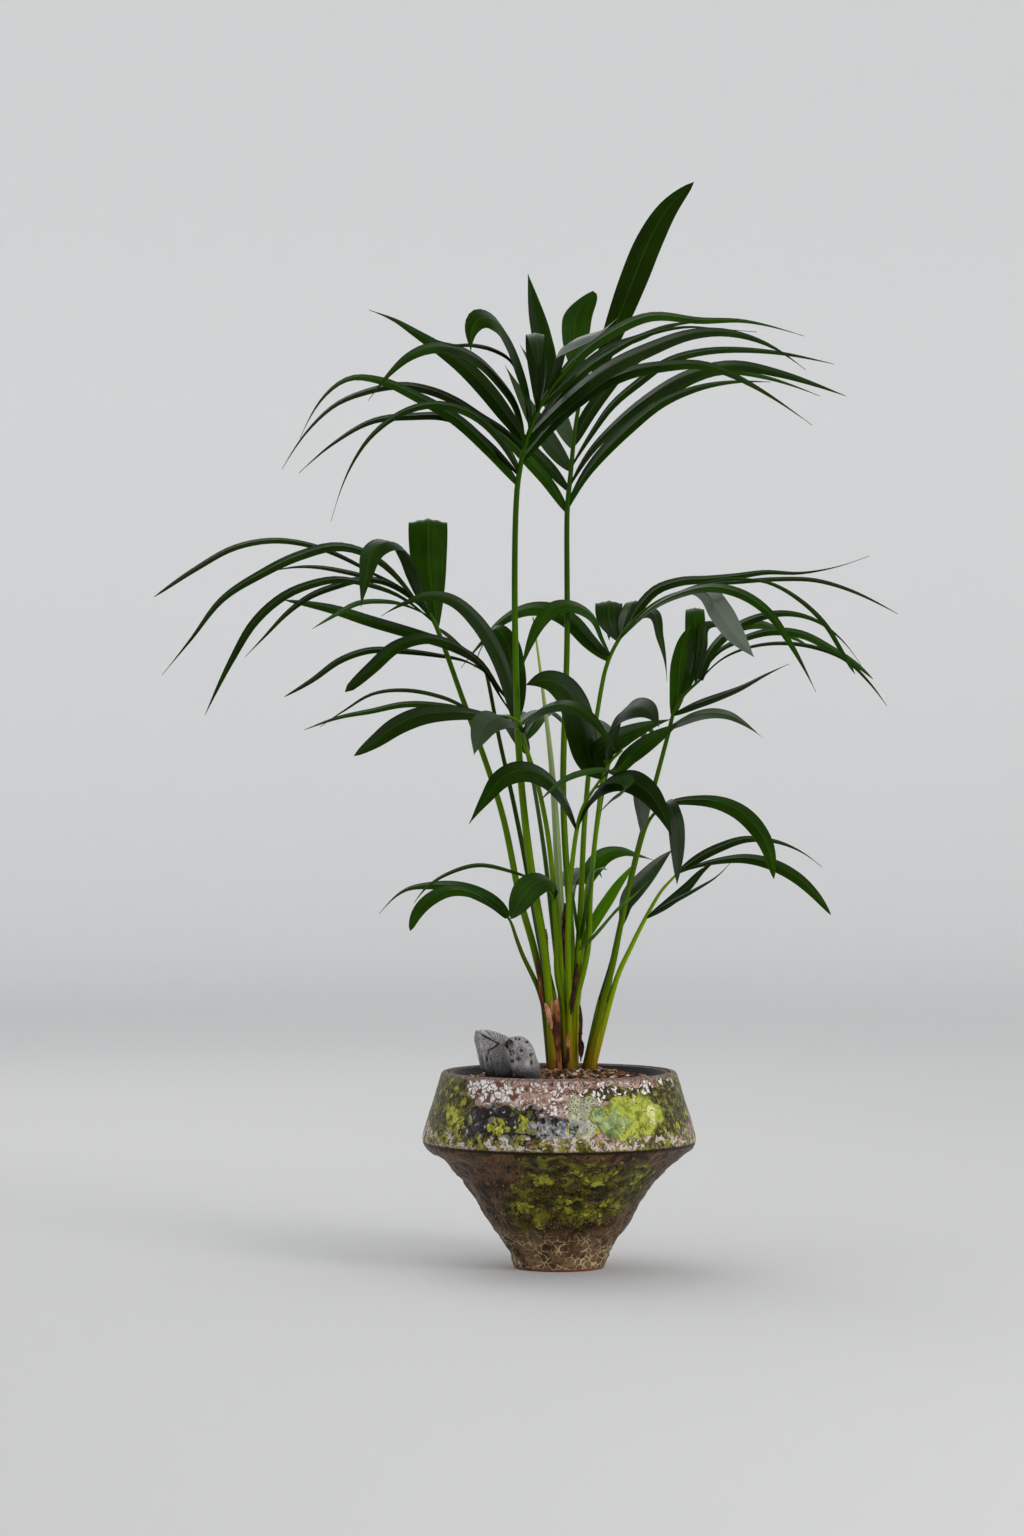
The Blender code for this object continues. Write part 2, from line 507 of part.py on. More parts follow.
def outline(t, widest):
    """Share of the full width at t from root to tip: narrow foot, pointed tip."""
    taper = TAPER_MOST - TAPER_LOSS * widest
    swell = taper * widest / (1 - widest)
    return ((t + FOOT) / (widest + FOOT)) ** swell * ((1 - t) / (1 - widest)) ** taper


def blade(curve, width, roll, widest, start=0.0, room=0.0):
    """A leaflet as a closed thin blade, folded down from its midrib, with a pointed tip."""
    length = sum((b - a).length for a, b in zip(curve, curve[1:]))
    line = smooth_path(curve, LEAF_LINE)
    thick = max(LEAF_THICK * length, LEAF_LEAST_THICK)
    reach = Vector((curve[-1].x - curve[0].x, curve[-1].y - curve[0].y, 0)).normalized()
    flat = reach.cross(Vector((0, 0, 1)))
    to_front = math.copysign(1, -flat.y)
    turn = math.radians(roll)
    ring = 6 if room else 4
    verts = []
    for k in range(LEAF_STEPS):
        t = start + (1 - start) * k / LEAF_STEPS
        place = min(int(t * LEAF_LINE), LEAF_LINE - 1)
        point = line[place].lerp(line[place + 1], t * LEAF_LINE - place)
        along = (line[place + 1] - line[place]).normalized()
        over = flat.cross(along).normalized()
        side = flat * math.cos(turn) - over * (to_front * math.sin(turn))
        face = over * math.cos(turn) + flat * (to_front * math.sin(turn))
        full = width * outline(t, widest)
        half = side * (full / 2 + room)
        drop = face * (full * LEAF_FOLD)
        body = face * (thick * min(1.0, LEAF_THINNING * (1 - t)) / 2 + room)
        low = face * room
        if room:
            verts += [point - half - drop + low, point + body, point + half - drop + low,
                      point + half - drop - low, point - body, point - half - drop - low]
        else:
            verts += [point - half - drop, point + body, point + half - drop, point - body]
    verts.append(line[-1])
    faces = [tuple(reversed(range(ring)))]
    for k in range(0, (LEAF_STEPS - 1) * ring, ring):
        for n in range(ring):
            m = (n + 1) % ring
            faces.append((k + n, k + m, k + ring + m, k + ring + n))
    last = (LEAF_STEPS - 1) * ring
    for n in range(ring):
        faces.append((last + n, last + (n + 1) % ring, len(verts) - 1))
    return verts, faces


def surface(shape):
    return BVHTree.FromPolygons(shape[0], shape[1])


def clear_of(shape, others):
    """Whether a shape meets none of the surfaces."""
    mine = surface(shape)
    return not any(mine.overlap(other) for other in others)


def blend(start, end, count):
    return [start + (end - start) * k / (count - 1) for k in range(count)]


def grow_fronds():
    """Works out every frond: its rod, and its leaflets swung clear of all that is placed."""
    lines = {frond.name: stalk_and_rib(frond) for frond in FRONDS}
    rods = {}
    for frond in FRONDS:
        bare, rib = lines[frond.name]
        path = bare + rib[1:]
        rods[frond.name] = tube(path, blend(*frond.radii, len(path)), STALK_SIDES)
    placed = {name: [surface(rod)] for name, rod in rods.items()}
    placed["spear"] = [surface(spear_shape())]
    grown = {}
    for frond in FRONDS:
        others = [tree for name, trees in placed.items() if name != frond.name for tree in trees]
        blades = []
        own = []
        for leaflet in frond.leaflets:
            width, roll, widest = leaflet[3:]
            for swing in SWING_STEPS:
                curve = leaflet_curve(lines[frond.name][1], leaflet, swing)
                roomy = blade(curve, width, roll, widest, 0.0, CLEAR)
                outer = blade(curve, width, roll, widest, 0.3, CLEAR)
                if clear_of(roomy, others) and clear_of(outer, own + placed[frond.name][:1]):
                    blades.append(blade(curve, width, roll, widest))
                    own.append(surface(outer))
                    placed[frond.name].append(surface(roomy))
                    break
        grown[frond.name] = (rods[frond.name], blades)
    return grown


def spear_shape():
    """The unopened leaf: a slim closed spear, thickest at a third of its height."""
    bare = [stem_seat("centre", SPEAR_SIDE), *(in_view(*p) for p in SPEAR_STALK)]
    path = smooth_path(bare, 14)
    foot, belly, tip = SPEAR_RADII
    radii = blend(foot, belly, 6) + blend(belly, tip, 10)[1:]
    return tube(path, radii, STALK_SIDES)


def join_frond(name, rod, blades, mat):
    """Fuses the leaflets to the stalk as one solid."""
    stalk = add_piece("frond_" + name, *rod, mat)
    group = bpy.data.collections.new(name)
    bpy.context.scene.collection.children.link(group)
    for shape in blades:
        leaf = add_piece("leaflet", *shape, mat)
        bpy.context.scene.collection.objects.unlink(leaf)
        group.objects.link(leaf)
    join = stalk.modifiers.new("leaflets", "BOOLEAN")
    join.operation = "UNION"
    join.operand_type = "COLLECTION"
    join.collection = group
    join.solver = "MANIFOLD"
    bpy.context.view_layer.objects.active = stalk
    bpy.ops.object.modifier_apply(modifier=join.name)
    for leaf in list(group.objects):
        bpy.data.objects.remove(leaf)
    bpy.data.collections.remove(group)
    stalk.data.shade_smooth()
    stalk.data.set_sharp_from_angle(angle=math.radians(40))


def liner_radius(up):
    """Outer radius of the nursery pot at this height."""
    share = (up - LINER_FOOT_UP) / (LINER_RIM_UP - LINER_FOOT_UP)
    return LINER_FOOT_RADIUS + (LINER_RIM_RADIUS - LINER_FOOT_RADIUS) * share


def granules_up(radius):
    """Height of the heaped granules at this distance from the axis."""
    edge = liner_radius(GRANULE_EDGE_UP) - LINER_WALL
    share = min(max((radius - CREST_RADIUS) / (edge - CREST_RADIUS), 0), 1)
    return GRANULE_CREST_UP + (GRANULE_EDGE_UP - GRANULE_CREST_UP) * share


def build_pot():
    glaze = material("reactive_glaze", POT_COLOUR, 0.3)
    plastic = material("black_plastic", (0.02, 0.02, 0.02), 0.5)
    peat = material("potting_mix", (0.07, 0.045, 0.03), 0.95)
    clay = material("clay_granules", (0.30, 0.19, 0.12), 0.9)
    turned("glazed_pot", ((0, 0.0), *POT_OUTSIDE, *POT_INSIDE), glaze)
    floor_up = LINER_FOOT_UP + LINER_WALL
    turned("nursery_pot", (
        (0, LINER_FOOT_UP), (LINER_FOOT_RADIUS, LINER_FOOT_UP),
        (LINER_RIM_RADIUS, LINER_RIM_UP), (LINER_RIM_RADIUS - LINER_WALL, LINER_RIM_UP),
        (liner_radius(floor_up) - LINER_WALL, floor_up), (0, floor_up)), plastic)
    inset = LINER_WALL + GAP + 0.1
    low = floor_up + GAP
    turned("potting_mix", (
        (0, low), (liner_radius(low) - inset, low),
        (liner_radius(MIX_TOP_UP) - inset, MIX_TOP_UP), (0, MIX_TOP_UP)), peat)
    low = MIX_TOP_UP + GAP
    turned("clay_granules", (
        (0, low), (liner_radius(low) - inset, low),
        (liner_radius(GRANULE_EDGE_UP) - inset, GRANULE_EDGE_UP),
        (CREST_RADIUS, GRANULE_CREST_UP), (0, GRANULE_CREST_UP)), clay)


def build_stones():
    """Two stones, one split square and one worn, hollowed below to bed on the heap."""
    grey = material("weathered_stone", (0.19, 0.19, 0.19), 0.8)
    for name, seen, rings in STONES:
        middle = [sum(point[k] for point in seen) / len(seen) for k in (0, 1)]
        verts = []
        for depth, size in rings:
            for across, up in seen:
                point = in_view(middle[0] + (across - middle[0]) * size,
                                middle[1] + (up - middle[1]) * size, depth)
                bed = granules_up(math.hypot(point.x, point.y)) + GAP
                verts.append(Vector((point.x, point.y, max(point.z, bed))))
        count = len(seen)
        faces = [tuple(reversed(range(count))), tuple(range(len(verts) - count, len(verts)))]
        for k in range(0, len(verts) - count, count):
            for n in range(count):
                m = (n + 1) % count
                faces.append((k + n, k + m, k + count + m, k + count + n))
        add_piece(name, verts, faces, grey)


def build_stems():
    """Sheath bundles from the granules to the level where the stalks part."""
    sheath = material("leaf_sheath", (0.16, 0.17, 0.05), 0.6)
    foot_up = GRANULE_CREST_UP + GAP
    for name, stem in STEMS.items():
        foot = Vector((*stem.foot, foot_up))
        top = Vector((*stem.top, STEM_TOP_UP))
        path = [foot.lerp(top, k / 4) for k in range(5)]
        rod = tube(path, blend(stem.foot_radius, stem.top_radius, 5), STEM_SIDES)
        level = [Vector((v.x, v.y, STEM_TOP_UP)) if k >= 4 * STEM_SIDES else v
                 for k, v in enumerate(rod[0])]
        add_piece("stem_" + name, level, rod[1], sheath)


def build_fronds():
    leaf = material("palm_leaf", (0.022, 0.075, 0.012), 0.4)
    add_piece("spear_leaf", *spear_shape(), leaf)
    for name, (rod, blades) in grow_fronds().items():
        join_frond(name, rod, blades, leaf)


for old in list(bpy.data.objects):
    bpy.data.objects.remove(old)
build_pot()
build_stones()
build_stems()
build_fronds()
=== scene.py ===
import math
import random
from collections import namedtuple

import bpy
from mathutils import Euler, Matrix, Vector, noise
from mathutils.bvhtree import BVHTree


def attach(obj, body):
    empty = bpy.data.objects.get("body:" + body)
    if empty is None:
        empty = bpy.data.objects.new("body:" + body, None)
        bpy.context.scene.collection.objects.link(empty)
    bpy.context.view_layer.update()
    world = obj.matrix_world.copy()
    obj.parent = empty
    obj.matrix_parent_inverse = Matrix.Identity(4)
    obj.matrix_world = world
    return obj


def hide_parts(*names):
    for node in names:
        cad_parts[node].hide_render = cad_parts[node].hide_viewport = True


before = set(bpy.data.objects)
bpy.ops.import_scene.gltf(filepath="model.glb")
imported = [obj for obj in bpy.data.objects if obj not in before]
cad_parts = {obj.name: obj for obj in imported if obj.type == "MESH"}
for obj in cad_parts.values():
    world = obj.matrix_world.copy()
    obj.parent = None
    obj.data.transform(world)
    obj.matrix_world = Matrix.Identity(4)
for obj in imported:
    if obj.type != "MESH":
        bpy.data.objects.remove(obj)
bpy.ops.object.select_all(action="DESELECT")
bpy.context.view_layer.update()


# Studio: the camera stands level, 4.27 m in front of the pot, behind a 100 mm lens. The floor
# is a plain pale sheet of paper that curves up far away all round, so no edge shows from any
# side. A wide soft lamp stands to the right in front, and a wider one high up behind the pot.
MM = 0.001
EYE_ACROSS, EYE_BACK, EYE_UP = -47.0, 4267.0, 499.0
LENS, SENSOR, SIGHT = 100, 36, 60
FLOOR_RADIUS, FLOOR_RIM, WALL_CURVE, WALL_STEP = 6.0, 2.0, 2.5, 1.2
CURVE_STEPS, WALL_STEPS = 10, 2
LAMPS = (("lamp_front", (2.3, -2.3, 1.9), 1.5, 58), ("lamp_back", (-0.9, 1.9, 2.6), 2.2, 30))
AIR_LIGHT = 0.93
bpy.ops.object.camera_add(location=(EYE_ACROSS * MM, -EYE_BACK * MM, EYE_UP * MM),
                          rotation=(math.radians(90), 0, 0))
camera = bpy.context.object
camera.name = "camera"
camera.data.lens = LENS
camera.data.sensor_width = SENSOR
camera.data.clip_end = SIGHT
bpy.context.scene.camera = camera


def linear(colour):
    """The linear values of an sRGB colour that is written as #rrggbb."""
    parts = [int(colour[k:k + 2], 16) / 255 for k in (1, 3, 5)]
    return [p / 12.92 if p <= 0.04045 else ((p + 0.055) / 1.055) ** 2.4 for p in parts] + [1.0]


def add_node(tree, kind, inputs=None, stops=None, **settings):
    """Adds a shader node with its settings, sets or links its inputs, and fills its ramp."""
    node = tree.nodes.new("ShaderNode" + kind)
    for name, value in settings.items():
        setattr(node, name, value)
    for name, value in (inputs or {}).items():
        if isinstance(value, bpy.types.NodeSocket):
            tree.links.new(value, node.inputs[name])
        else:
            node.inputs[name].default_value = value
    if stops:
        first, last = node.color_ramp.elements
        first.position, first.color = stops[0][0], linear(stops[0][1])
        last.position, last.color = stops[-1][0], linear(stops[-1][1])
        for place, colour in stops[1:-1]:
            node.color_ramp.elements.new(place).color = linear(colour)
    return node


def new_finish(name, roughness, specular=0.5, sheen_colour="#ffffff"):
    """An empty finish: its node tree and its shader. The sheen colour tints straight reflections."""
    finish = bpy.data.materials.new(name)
    finish.use_nodes = True
    shader = finish.node_tree.nodes["Principled BSDF"]
    shader.inputs["Roughness"].default_value = roughness
    shader.inputs["Specular IOR Level"].default_value = specular
    shader.inputs["Specular Tint"].default_value = linear(sheen_colour)
    return finish, finish.node_tree, shader


bpy.ops.mesh.primitive_circle_add(vertices=96, radius=FLOOR_RADIUS, fill_type="NGON")
floor = bpy.context.object
floor.name = "studio_floor"
bpy.ops.object.mode_set(mode="EDIT")
bpy.ops.mesh.select_mode(type="EDGE")
bpy.ops.mesh.select_all(action="SELECT")
bpy.ops.mesh.inset(thickness=FLOOR_RIM)
bpy.ops.mesh.select_all(action="DESELECT")
bpy.ops.object.mode_set(mode="OBJECT")
for edge in floor.data.edges:
    ends = [floor.data.vertices[k].co.length for k in edge.vertices]
    edge.select = min(ends) > FLOOR_RADIUS - 0.05
bpy.ops.object.mode_set(mode="EDIT")
reach, height = FLOOR_RADIUS, 0.0
for step in range(1, CURVE_STEPS + WALL_STEPS + 1):
    turn = math.radians(90 * min(step, CURVE_STEPS) / CURVE_STEPS)
    new_reach = FLOOR_RADIUS + WALL_CURVE * math.sin(turn)
    new_height = WALL_CURVE * (1 - math.cos(turn)) + WALL_STEP * max(step - CURVE_STEPS, 0)
    bpy.ops.mesh.extrude_edges_move(TRANSFORM_OT_translate={"value": (0, 0, new_height - height)})
    bpy.ops.transform.resize(value=(new_reach / reach, new_reach / reach, 1),
                             center_override=(0, 0, 0))
    reach, height = new_reach, new_height
bpy.ops.object.mode_set(mode="OBJECT")
bpy.ops.object.shade_smooth()
# Seamless paper: matt and pale. It is lighter the farther it lies from the pot and the lamps,
# so that it looks as bright behind the pot as under it.
paper, paper_tree, paper_shader = new_finish("studio_paper", 0.85, 0.2)
reach = add_node(paper_tree, "VectorMath", {0: add_node(paper_tree, "TexCoord").outputs["Object"]},
                 operation="LENGTH").outputs["Value"]
reach = add_node(paper_tree, "MapRange", {"Value": reach, "From Max": 10.0}).outputs[0]
tint = add_node(paper_tree, "ValToRGB", {0: reach}, (
    (0.2, "#c2c1c0"), (0.35, "#cbcac9"), (0.6, "#dedddc"), (0.7, "#e7e6e5"),
    (0.85, "#f3f2f1"))).outputs[0]
paper_tree.links.new(tint, paper_shader.inputs["Base Color"])
floor.data.materials.append(paper)

bpy.context.scene.view_settings.view_transform = "Standard"
world = bpy.data.worlds.new("studio_air")
world.use_nodes = True
world.node_tree.nodes["Background"].inputs["Color"].default_value = linear("#eef1f4")
world.node_tree.nodes["Background"].inputs["Strength"].default_value = AIR_LIGHT
bpy.context.scene.world = world
for name, place, size, watts in LAMPS:
    bpy.ops.object.light_add(type="AREA", location=place)
    lamp = bpy.context.object
    lamp.name = name
    lamp.rotation_euler = (Vector((0, 0, 0.5)) - Vector(place)).to_track_quat("-Z", "Y").to_euler()
    lamp.data.size = size
    lamp.data.energy = watts


# Glazed pot: heavy stoneware thrown in two cones that meet in a rounded belt. The lower cone is
# carved in soft waves by hand. A reactive glaze broke in the kiln into crackle, moss green and
# dark pools; the lip and the foot stayed dry. It stands on the floor and carries the rest.
POT_OUTSIDE = ((41, 0), (45.5, 0), (49, 15), (57, 28), (73, 50), (85, 72), (100, 92),
               (115, 107), (129, 117), (136, 124), (137, 130), (133, 145), (125, 170),
               (120, 187), (118, 194), (115, 197), (112, 196))
POT_INSIDE = ((111, 190), (113, 178), (121, 150), (124, 134), (121, 126), (106, 111),
              (91, 96), (77, 76), (65, 56), (48, 32), (38, 16))
POT_SIDES = 200
FOOT_EDGE_UP, CONE_TOP_UP, WALL_TOP_UP = 1.0, 125.5, 192
BELOW_ALL, ABOVE_ALL = -20, 260


def rounded(profile, pitch):
    """Cuts a profile into short steps and rounds its corners over a step or two."""
    fine = []
    for (r0, z0), (r1, z1) in zip(profile, profile[1:]):
        count = max(1, round(math.hypot(r1 - r0, z1 - z0) / pitch))
        fine += [(r0 + (r1 - r0) * k / count, z0 + (z1 - z0) * k / count) for k in range(count)]
    fine.append(profile[-1])
    middle = [tuple((a[k] + 2 * b[k] + c[k]) / 4 for k in (0, 1))
              for a, b, c in zip(fine, fine[1:], fine[2:])]
    return [fine[0], *middle, fine[-1]]


def thrown(name, profile, sides):
    """Pulls a ring up and out along a profile, as a wall rises on the wheel, and closes it."""
    bpy.ops.mesh.primitive_circle_add(vertices=sides, radius=profile[0][0] * MM,
                                      fill_type="NGON", location=(0, 0, profile[0][1] * MM))
    piece = bpy.context.object
    piece.name = name
    bpy.ops.object.mode_set(mode="EDIT")
    for (r0, z0), (r1, z1) in zip(profile, profile[1:]):
        bpy.ops.mesh.extrude_region_move(TRANSFORM_OT_translate={"value": (0, 0, (z1 - z0) * MM)})
        bpy.ops.transform.resize(value=(r1 / r0, r1 / r0, 1), center_override=(0, 0, 0))
    bpy.ops.mesh.select_all(action="SELECT")
    bpy.ops.mesh.normals_make_consistent(inside=False)
    bpy.ops.object.mode_set(mode="OBJECT")
    bpy.ops.object.transform_apply(location=True, rotation=True, scale=True)
    bpy.ops.object.shade_smooth_by_angle(angle=math.radians(50))
    return piece


def carve(piece, pattern, size, depth, weights):
    """Presses a soft pattern of the given size into a piece, as deep as the weights say."""
    group = piece.vertex_groups.new(name=pattern)
    for index, weight in weights.items():
        group.add([index], weight, "REPLACE")
    texture = bpy.data.textures.new(pattern, "CLOUDS")
    texture.noise_scale = size
    texture.noise_depth = 2
    press = piece.modifiers.new(pattern, "DISPLACE")
    press.texture = texture
    press.texture_coords = "LOCAL"
    press.strength = depth
    press.mid_level = 0.5
    press.vertex_group = group.name
    bpy.context.view_layer.objects.active = piece
    bpy.ops.object.modifier_apply(modifier=press.name)


pot = thrown("glazed_pot_body", rounded(POT_OUTSIDE, 2.4) + rounded(POT_INSIDE, 9.0), POT_SIDES)
cone, wall = {}, {}
for vert in pot.data.vertices:
    r, z = math.hypot(vert.co.x, vert.co.y), vert.co.z / MM
    outside = vert.normal.x * vert.co.x + vert.normal.y * vert.co.y > 0.2 * r
    if outside and FOOT_EDGE_UP < z < CONE_TOP_UP:
        cone[vert.index] = min(1.0, (z - FOOT_EDGE_UP) / 10, (CONE_TOP_UP - z) / 5)
    elif outside and CONE_TOP_UP < z < WALL_TOP_UP:
        wall[vert.index] = min(1.0, (z - CONE_TOP_UP) / 8, (WALL_TOP_UP - z) / 5)
carve(pot, "cone_waves", 0.016, 0.0052, cone)
carve(pot, "cone_chisel", 0.005, 0.0020, cone)
carve(pot, "wall_relief", 0.006, 0.0011, wall)

# Reactive glaze on stoneware: glassy and satin where it ran thick, dry at the lip and the foot.
# It broke into drops, crackle and pools, which follow the place on the pot and soft clouds.
glaze, tree, shader = new_finish("reactive_glaze", 0.35, 0.25, "#d8c8a0")
place = add_node(tree, "TexCoord").outputs["Object"]
sides = add_node(tree, "SeparateXYZ", {0: place})
height = sides.outputs["Z"]
flow = add_node(tree, "TexNoise", {"Vector": place, "Scale": 75.0, "Detail": 4.0})
push = add_node(tree, "VectorMath", {0: flow.outputs["Color"], 1: (0.5, 0.5, 0.5)},
                operation="SUBTRACT").outputs[0]
push = add_node(tree, "VectorMath", {0: push, "Scale": 0.014}, operation="SCALE").outputs[0]
run = add_node(tree, "VectorMath", {0: place, 1: push}, operation="ADD").outputs[0]


def ranged(value, low, high):
    """A mask that rises from 0 at one value to 1 at the other, which may be the lower one."""
    return add_node(tree, "MapRange", {"Value": value, "From Min": low, "From Max": high}).outputs[0]


def cloud(size_mm, low, high, shift=0.0):
    """A mask of soft patches of the given size."""
    spot = add_node(tree, "Mapping", {"Vector": run, "Location": (shift, shift, shift)})
    patches = add_node(tree, "TexNoise", {"Vector": spot.outputs[0], "Scale": 1000.0 / size_mm,
                                          "Detail": 3.0, "Roughness": 0.55})
    return ranged(patches.outputs[0], low, high)


def product(*masks):
    """Where all the masks are high."""
    result = masks[0]
    for mask in masks[1:]:
        result = add_node(tree, "Math", {0: result, 1: mask}, operation="MULTIPLY").outputs[0]
    return result


def band(low_mm, high_mm, soft_mm):
    """A mask of a band of height, in millimetres, with a soft edge."""
    return product(ranged(height, (low_mm - soft_mm) * MM, (low_mm + soft_mm) * MM),
                   ranged(height, (high_mm + soft_mm) * MM, (high_mm - soft_mm) * MM))


def laid(under, over, mask):
    """One colour laid over another through a mask."""
    return add_node(tree, "Mix", {0: mask, 6: under, 7: over}, data_type="RGBA").outputs[2]


def shades(size_mm, stops):
    """A mottle of the given size through a row of colours."""
    mottle = add_node(tree, "TexNoise", {"Vector": run, "Scale": 1000.0 / size_mm,
                                         "Detail": 4.0, "Roughness": 0.6})
    return add_node(tree, "ValToRGB", {0: mottle.outputs[0]}, stops).outputs[0]


def drops(size_mm, metric="EUCLIDEAN"):
    """Drops of the given size: the distance from the middle of each, and a chance value."""
    grid = add_node(tree, "TexVoronoi", {"Vector": run, "Scale": 1000.0 / size_mm},
                    distance=metric)
    return grid.outputs["Distance"], add_node(tree, "SeparateXYZ",
                                              {0: grid.outputs["Color"]}).outputs["X"]


def cracks(size_mm, low, high):
    """A mask of the cracks between crackle cells of the given size."""
    grid = add_node(tree, "TexVoronoi", {"Vector": run, "Scale": 1000.0 / size_mm},
                    feature="DISTANCE_TO_EDGE")
    return ranged(grid.outputs["Distance"], high, low)


in_front = ranged(sides.outputs["Y"], 0.012, -0.012)
at_back = ranged(sides.outputs["Y"], -0.012, 0.012)


def patch(across, up, wide, tall, ragged=0.35):
    """A ragged patch on the front: its middle and half its width and height in millimetres."""
    spot = add_node(tree, "Mapping", {"Vector": run, "Location": (-across / wide, 0, -up / tall),
                                      "Scale": (1000.0 / wide, 0, 1000.0 / tall)}).outputs[0]
    far = add_node(tree, "VectorMath", {0: spot}, operation="LENGTH").outputs["Value"]
    grid = drops(9.0)[0]
    far = add_node(tree, "Math", {0: grid, 1: ragged, 2: far}, operation="MULTIPLY_ADD").outputs[0]
    return product(ranged(far, 1.06 + ragged * 0.5, 0.94 + ragged * 0.5), in_front)


def either(*masks):
    """Where any of the masks is high."""
    result = masks[0]
    for mask in masks[1:]:
        result = add_node(tree, "Math", {0: result, 1: mask}, operation="MAXIMUM").outputs[0]
    return result


# The wall: reddish clay under white tiles on the left and white grains toward the lip.
skin = shades(6, ((0.30, "#523830"), (0.42, "#836358"), (0.52, "#a6867a"), (0.62, "#c0a599"),
                  (0.74, "#7a6550")))
skin = laid(skin, linear("#2e1b14"), product(cracks(3.4, 0.03, 0.10), cloud(12, 0.42, 0.5, 4.4)))
olive = shades(7, ((0.3, "#1e180a"), (0.48, "#443f18"), (0.6, "#787636"), (0.75, "#a8a55e")))
olive = laid(olive, linear("#171006"),
             product(cracks(5.0, 0.03, 0.12), cloud(14, 0.42, 0.5, 2.9)))
ends = either(patch(-108, 166, 26, 34), patch(106, 162, 24, 34), patch(60, 182, 42, 6, 0.6),
              product(cloud(60, 0.50, 0.54, 0.31), at_back, band(120, 190, 5)))
skin = laid(skin, olive, ends)
chance = drops(6.0, "MANHATTAN")[1]
split = cracks(6.0, 0.04, 0.12)
tiled = either(patch(-66, 184, 27, 11),
               product(cloud(46, 0.50, 0.53, 0.7), at_back, band(162, 193, 4)))
skin = laid(skin, linear("#68463a"), tiled)
skin = laid(skin, shades(3, ((0.35, "#b9b0aa"), (0.6, "#f2efec"))),
            product(add_node(tree, "Math", {0: 1.0, 1: split}, operation="SUBTRACT").outputs[0],
                    ranged(chance, 0.16, 0.20), tiled))
far, chance = drops(4.4, "CHEBYCHEV")
grained = either(patch(8, 176, 62, 20, 0.5), patch(60, 188, 50, 7, 0.5),
                 product(cloud(60, 0.47, 0.52, 0.12), at_back, band(143, 193, 6)))
grains_white = product(ranged(far, 0.40, 0.32), ranged(chance, 0.26, 0.30), grained)
skin = laid(skin, shades(4, ((0.35, "#b9aea8"), (0.6, "#eeeae8"))), grains_white)
ash = shades(5, ((0.3, "#75765c"), (0.5, "#a3a388"), (0.7, "#cccba8")))
skin = laid(skin, laid(ash, linear("#3b4236"), ranged(drops(2.8)[0], 0.34, 0.22)),
            either(patch(23, 155, 18, 15), patch(20, 172, 16, 8),
                   product(cloud(40, 0.54, 0.56, 0.83), at_back, band(130, 178, 5))))
# Round dark pebbles and pools along the belt, slate blue toward the middle, with green flecks,
# and a pale painted highlight on the middle of many pebbles.
far, chance = drops(9.5)
pebbles = add_node(tree, "ValToRGB", {0: chance}, (
    (0.0, "#110f10"), (0.2, "#26242a"), (0.4, "#454450"), (0.55, "#33271d"), (0.7, "#6e6f70"),
    (0.85, "#4c4a2c"), (1.0, "#84824a"))).outputs[0]
# Painted highlight: a pale spot in the middle of the pebbles, broken up by a fine cloud.
pebbles = laid(pebbles, linear("#ccc8bc"),
               product(ranged(far, 0.30, 0.10), cloud(4, 0.50, 0.58)))
pebbles = laid(pebbles, linear("#120d08"), cracks(9.5, 0.02, 0.10))
pooled = either(patch(-52, 152, 44, 20, 0.5), patch(-18, 149, 34, 13, 0.5),
                patch(-84, 141, 24, 9, 0.5),
                product(cloud(42, 0.43, 0.47, 0.5), at_back, band(128, 159, 5)))
skin = laid(skin, pebbles, pooled)
far, chance = drops(8.5)
flecks = product(ranged(far, 0.46, 0.38), ranged(chance, 0.60, 0.63),
                 either(band(131, 160, 4), patch(-112, 160, 24, 24)))
skin = laid(skin, shades(4, ((0.35, "#5c640f"), (0.5, "#96941c"), (0.65, "#ccc05a"))), flecks)
slate = shades(4, ((0.35, "#53565e"), (0.5, "#83868c"), (0.65, "#b3b2ac")))
skin = laid(skin, slate, product(patch(-4, 150, 30, 10, 0.5), cloud(6, 0.46, 0.54, 2.7)))
sprouts = shades(5, ((0.35, "#5e6412"), (0.5, "#9c9c2a"), (0.65, "#d0ca6a")))
skin = laid(skin, sprouts, product(cloud(5, 0.42, 0.48, 3.3), either(
    patch(-60, 149, 6, 8, 0.5), patch(-36, 156, 6, 5, 0.5), patch(-104, 152, 8, 15, 0.5))))
# The foot of the wall: moss with chalk and clay between.
rim_moss = shades(6, ((0.3, "#241e0a"), (0.45, "#4a4614"), (0.55, "#7c7a2c"), (0.7, "#a6a25a")))
skin = laid(skin, rim_moss, product(cloud(9, 0.44, 0.50, 0.4), band(112, 138, 3)))
chalk = laid(linear("#c4b9ae"), linear("#553a30"), ranged(drops(2.4)[0], 0.40, 0.26))
skin = laid(skin, chalk, product(cloud(9, 0.53, 0.57, 1.37), band(127, 141, 2)))
# One broad lime pool in front on the right with a small one beside it, and more round the back.
lime = shades(16, ((0.32, "#4c5a1a"), (0.42, "#848e2a"), (0.50, "#b2b64e"), (0.58, "#93a03c"),
                   (0.68, "#d4d48a")))
lime = laid(lime, shades(10, ((0.35, "#5f7448"), (0.55, "#94a672"), (0.7, "#c0c88c"))),
            product(either(patch(51, 153, 15, 14, 0.6), patch(38, 160, 8, 8)),
                    cloud(5, 0.36, 0.5, 9.1)))
limed = either(patch(68, 158.5, 33, 21, 0.42), patch(37, 160, 9, 8, 0.3),
               product(cloud(52, 0.57, 0.58, 0.2), at_back, band(130, 172, 5)))
lime_edge = either(patch(68, 158.5, 34.2, 22.2, 0.42), patch(37, 160, 10, 9, 0.3))
skin = laid(skin, linear("#2f3512"), lime_edge)
skin = laid(skin, lime, limed)
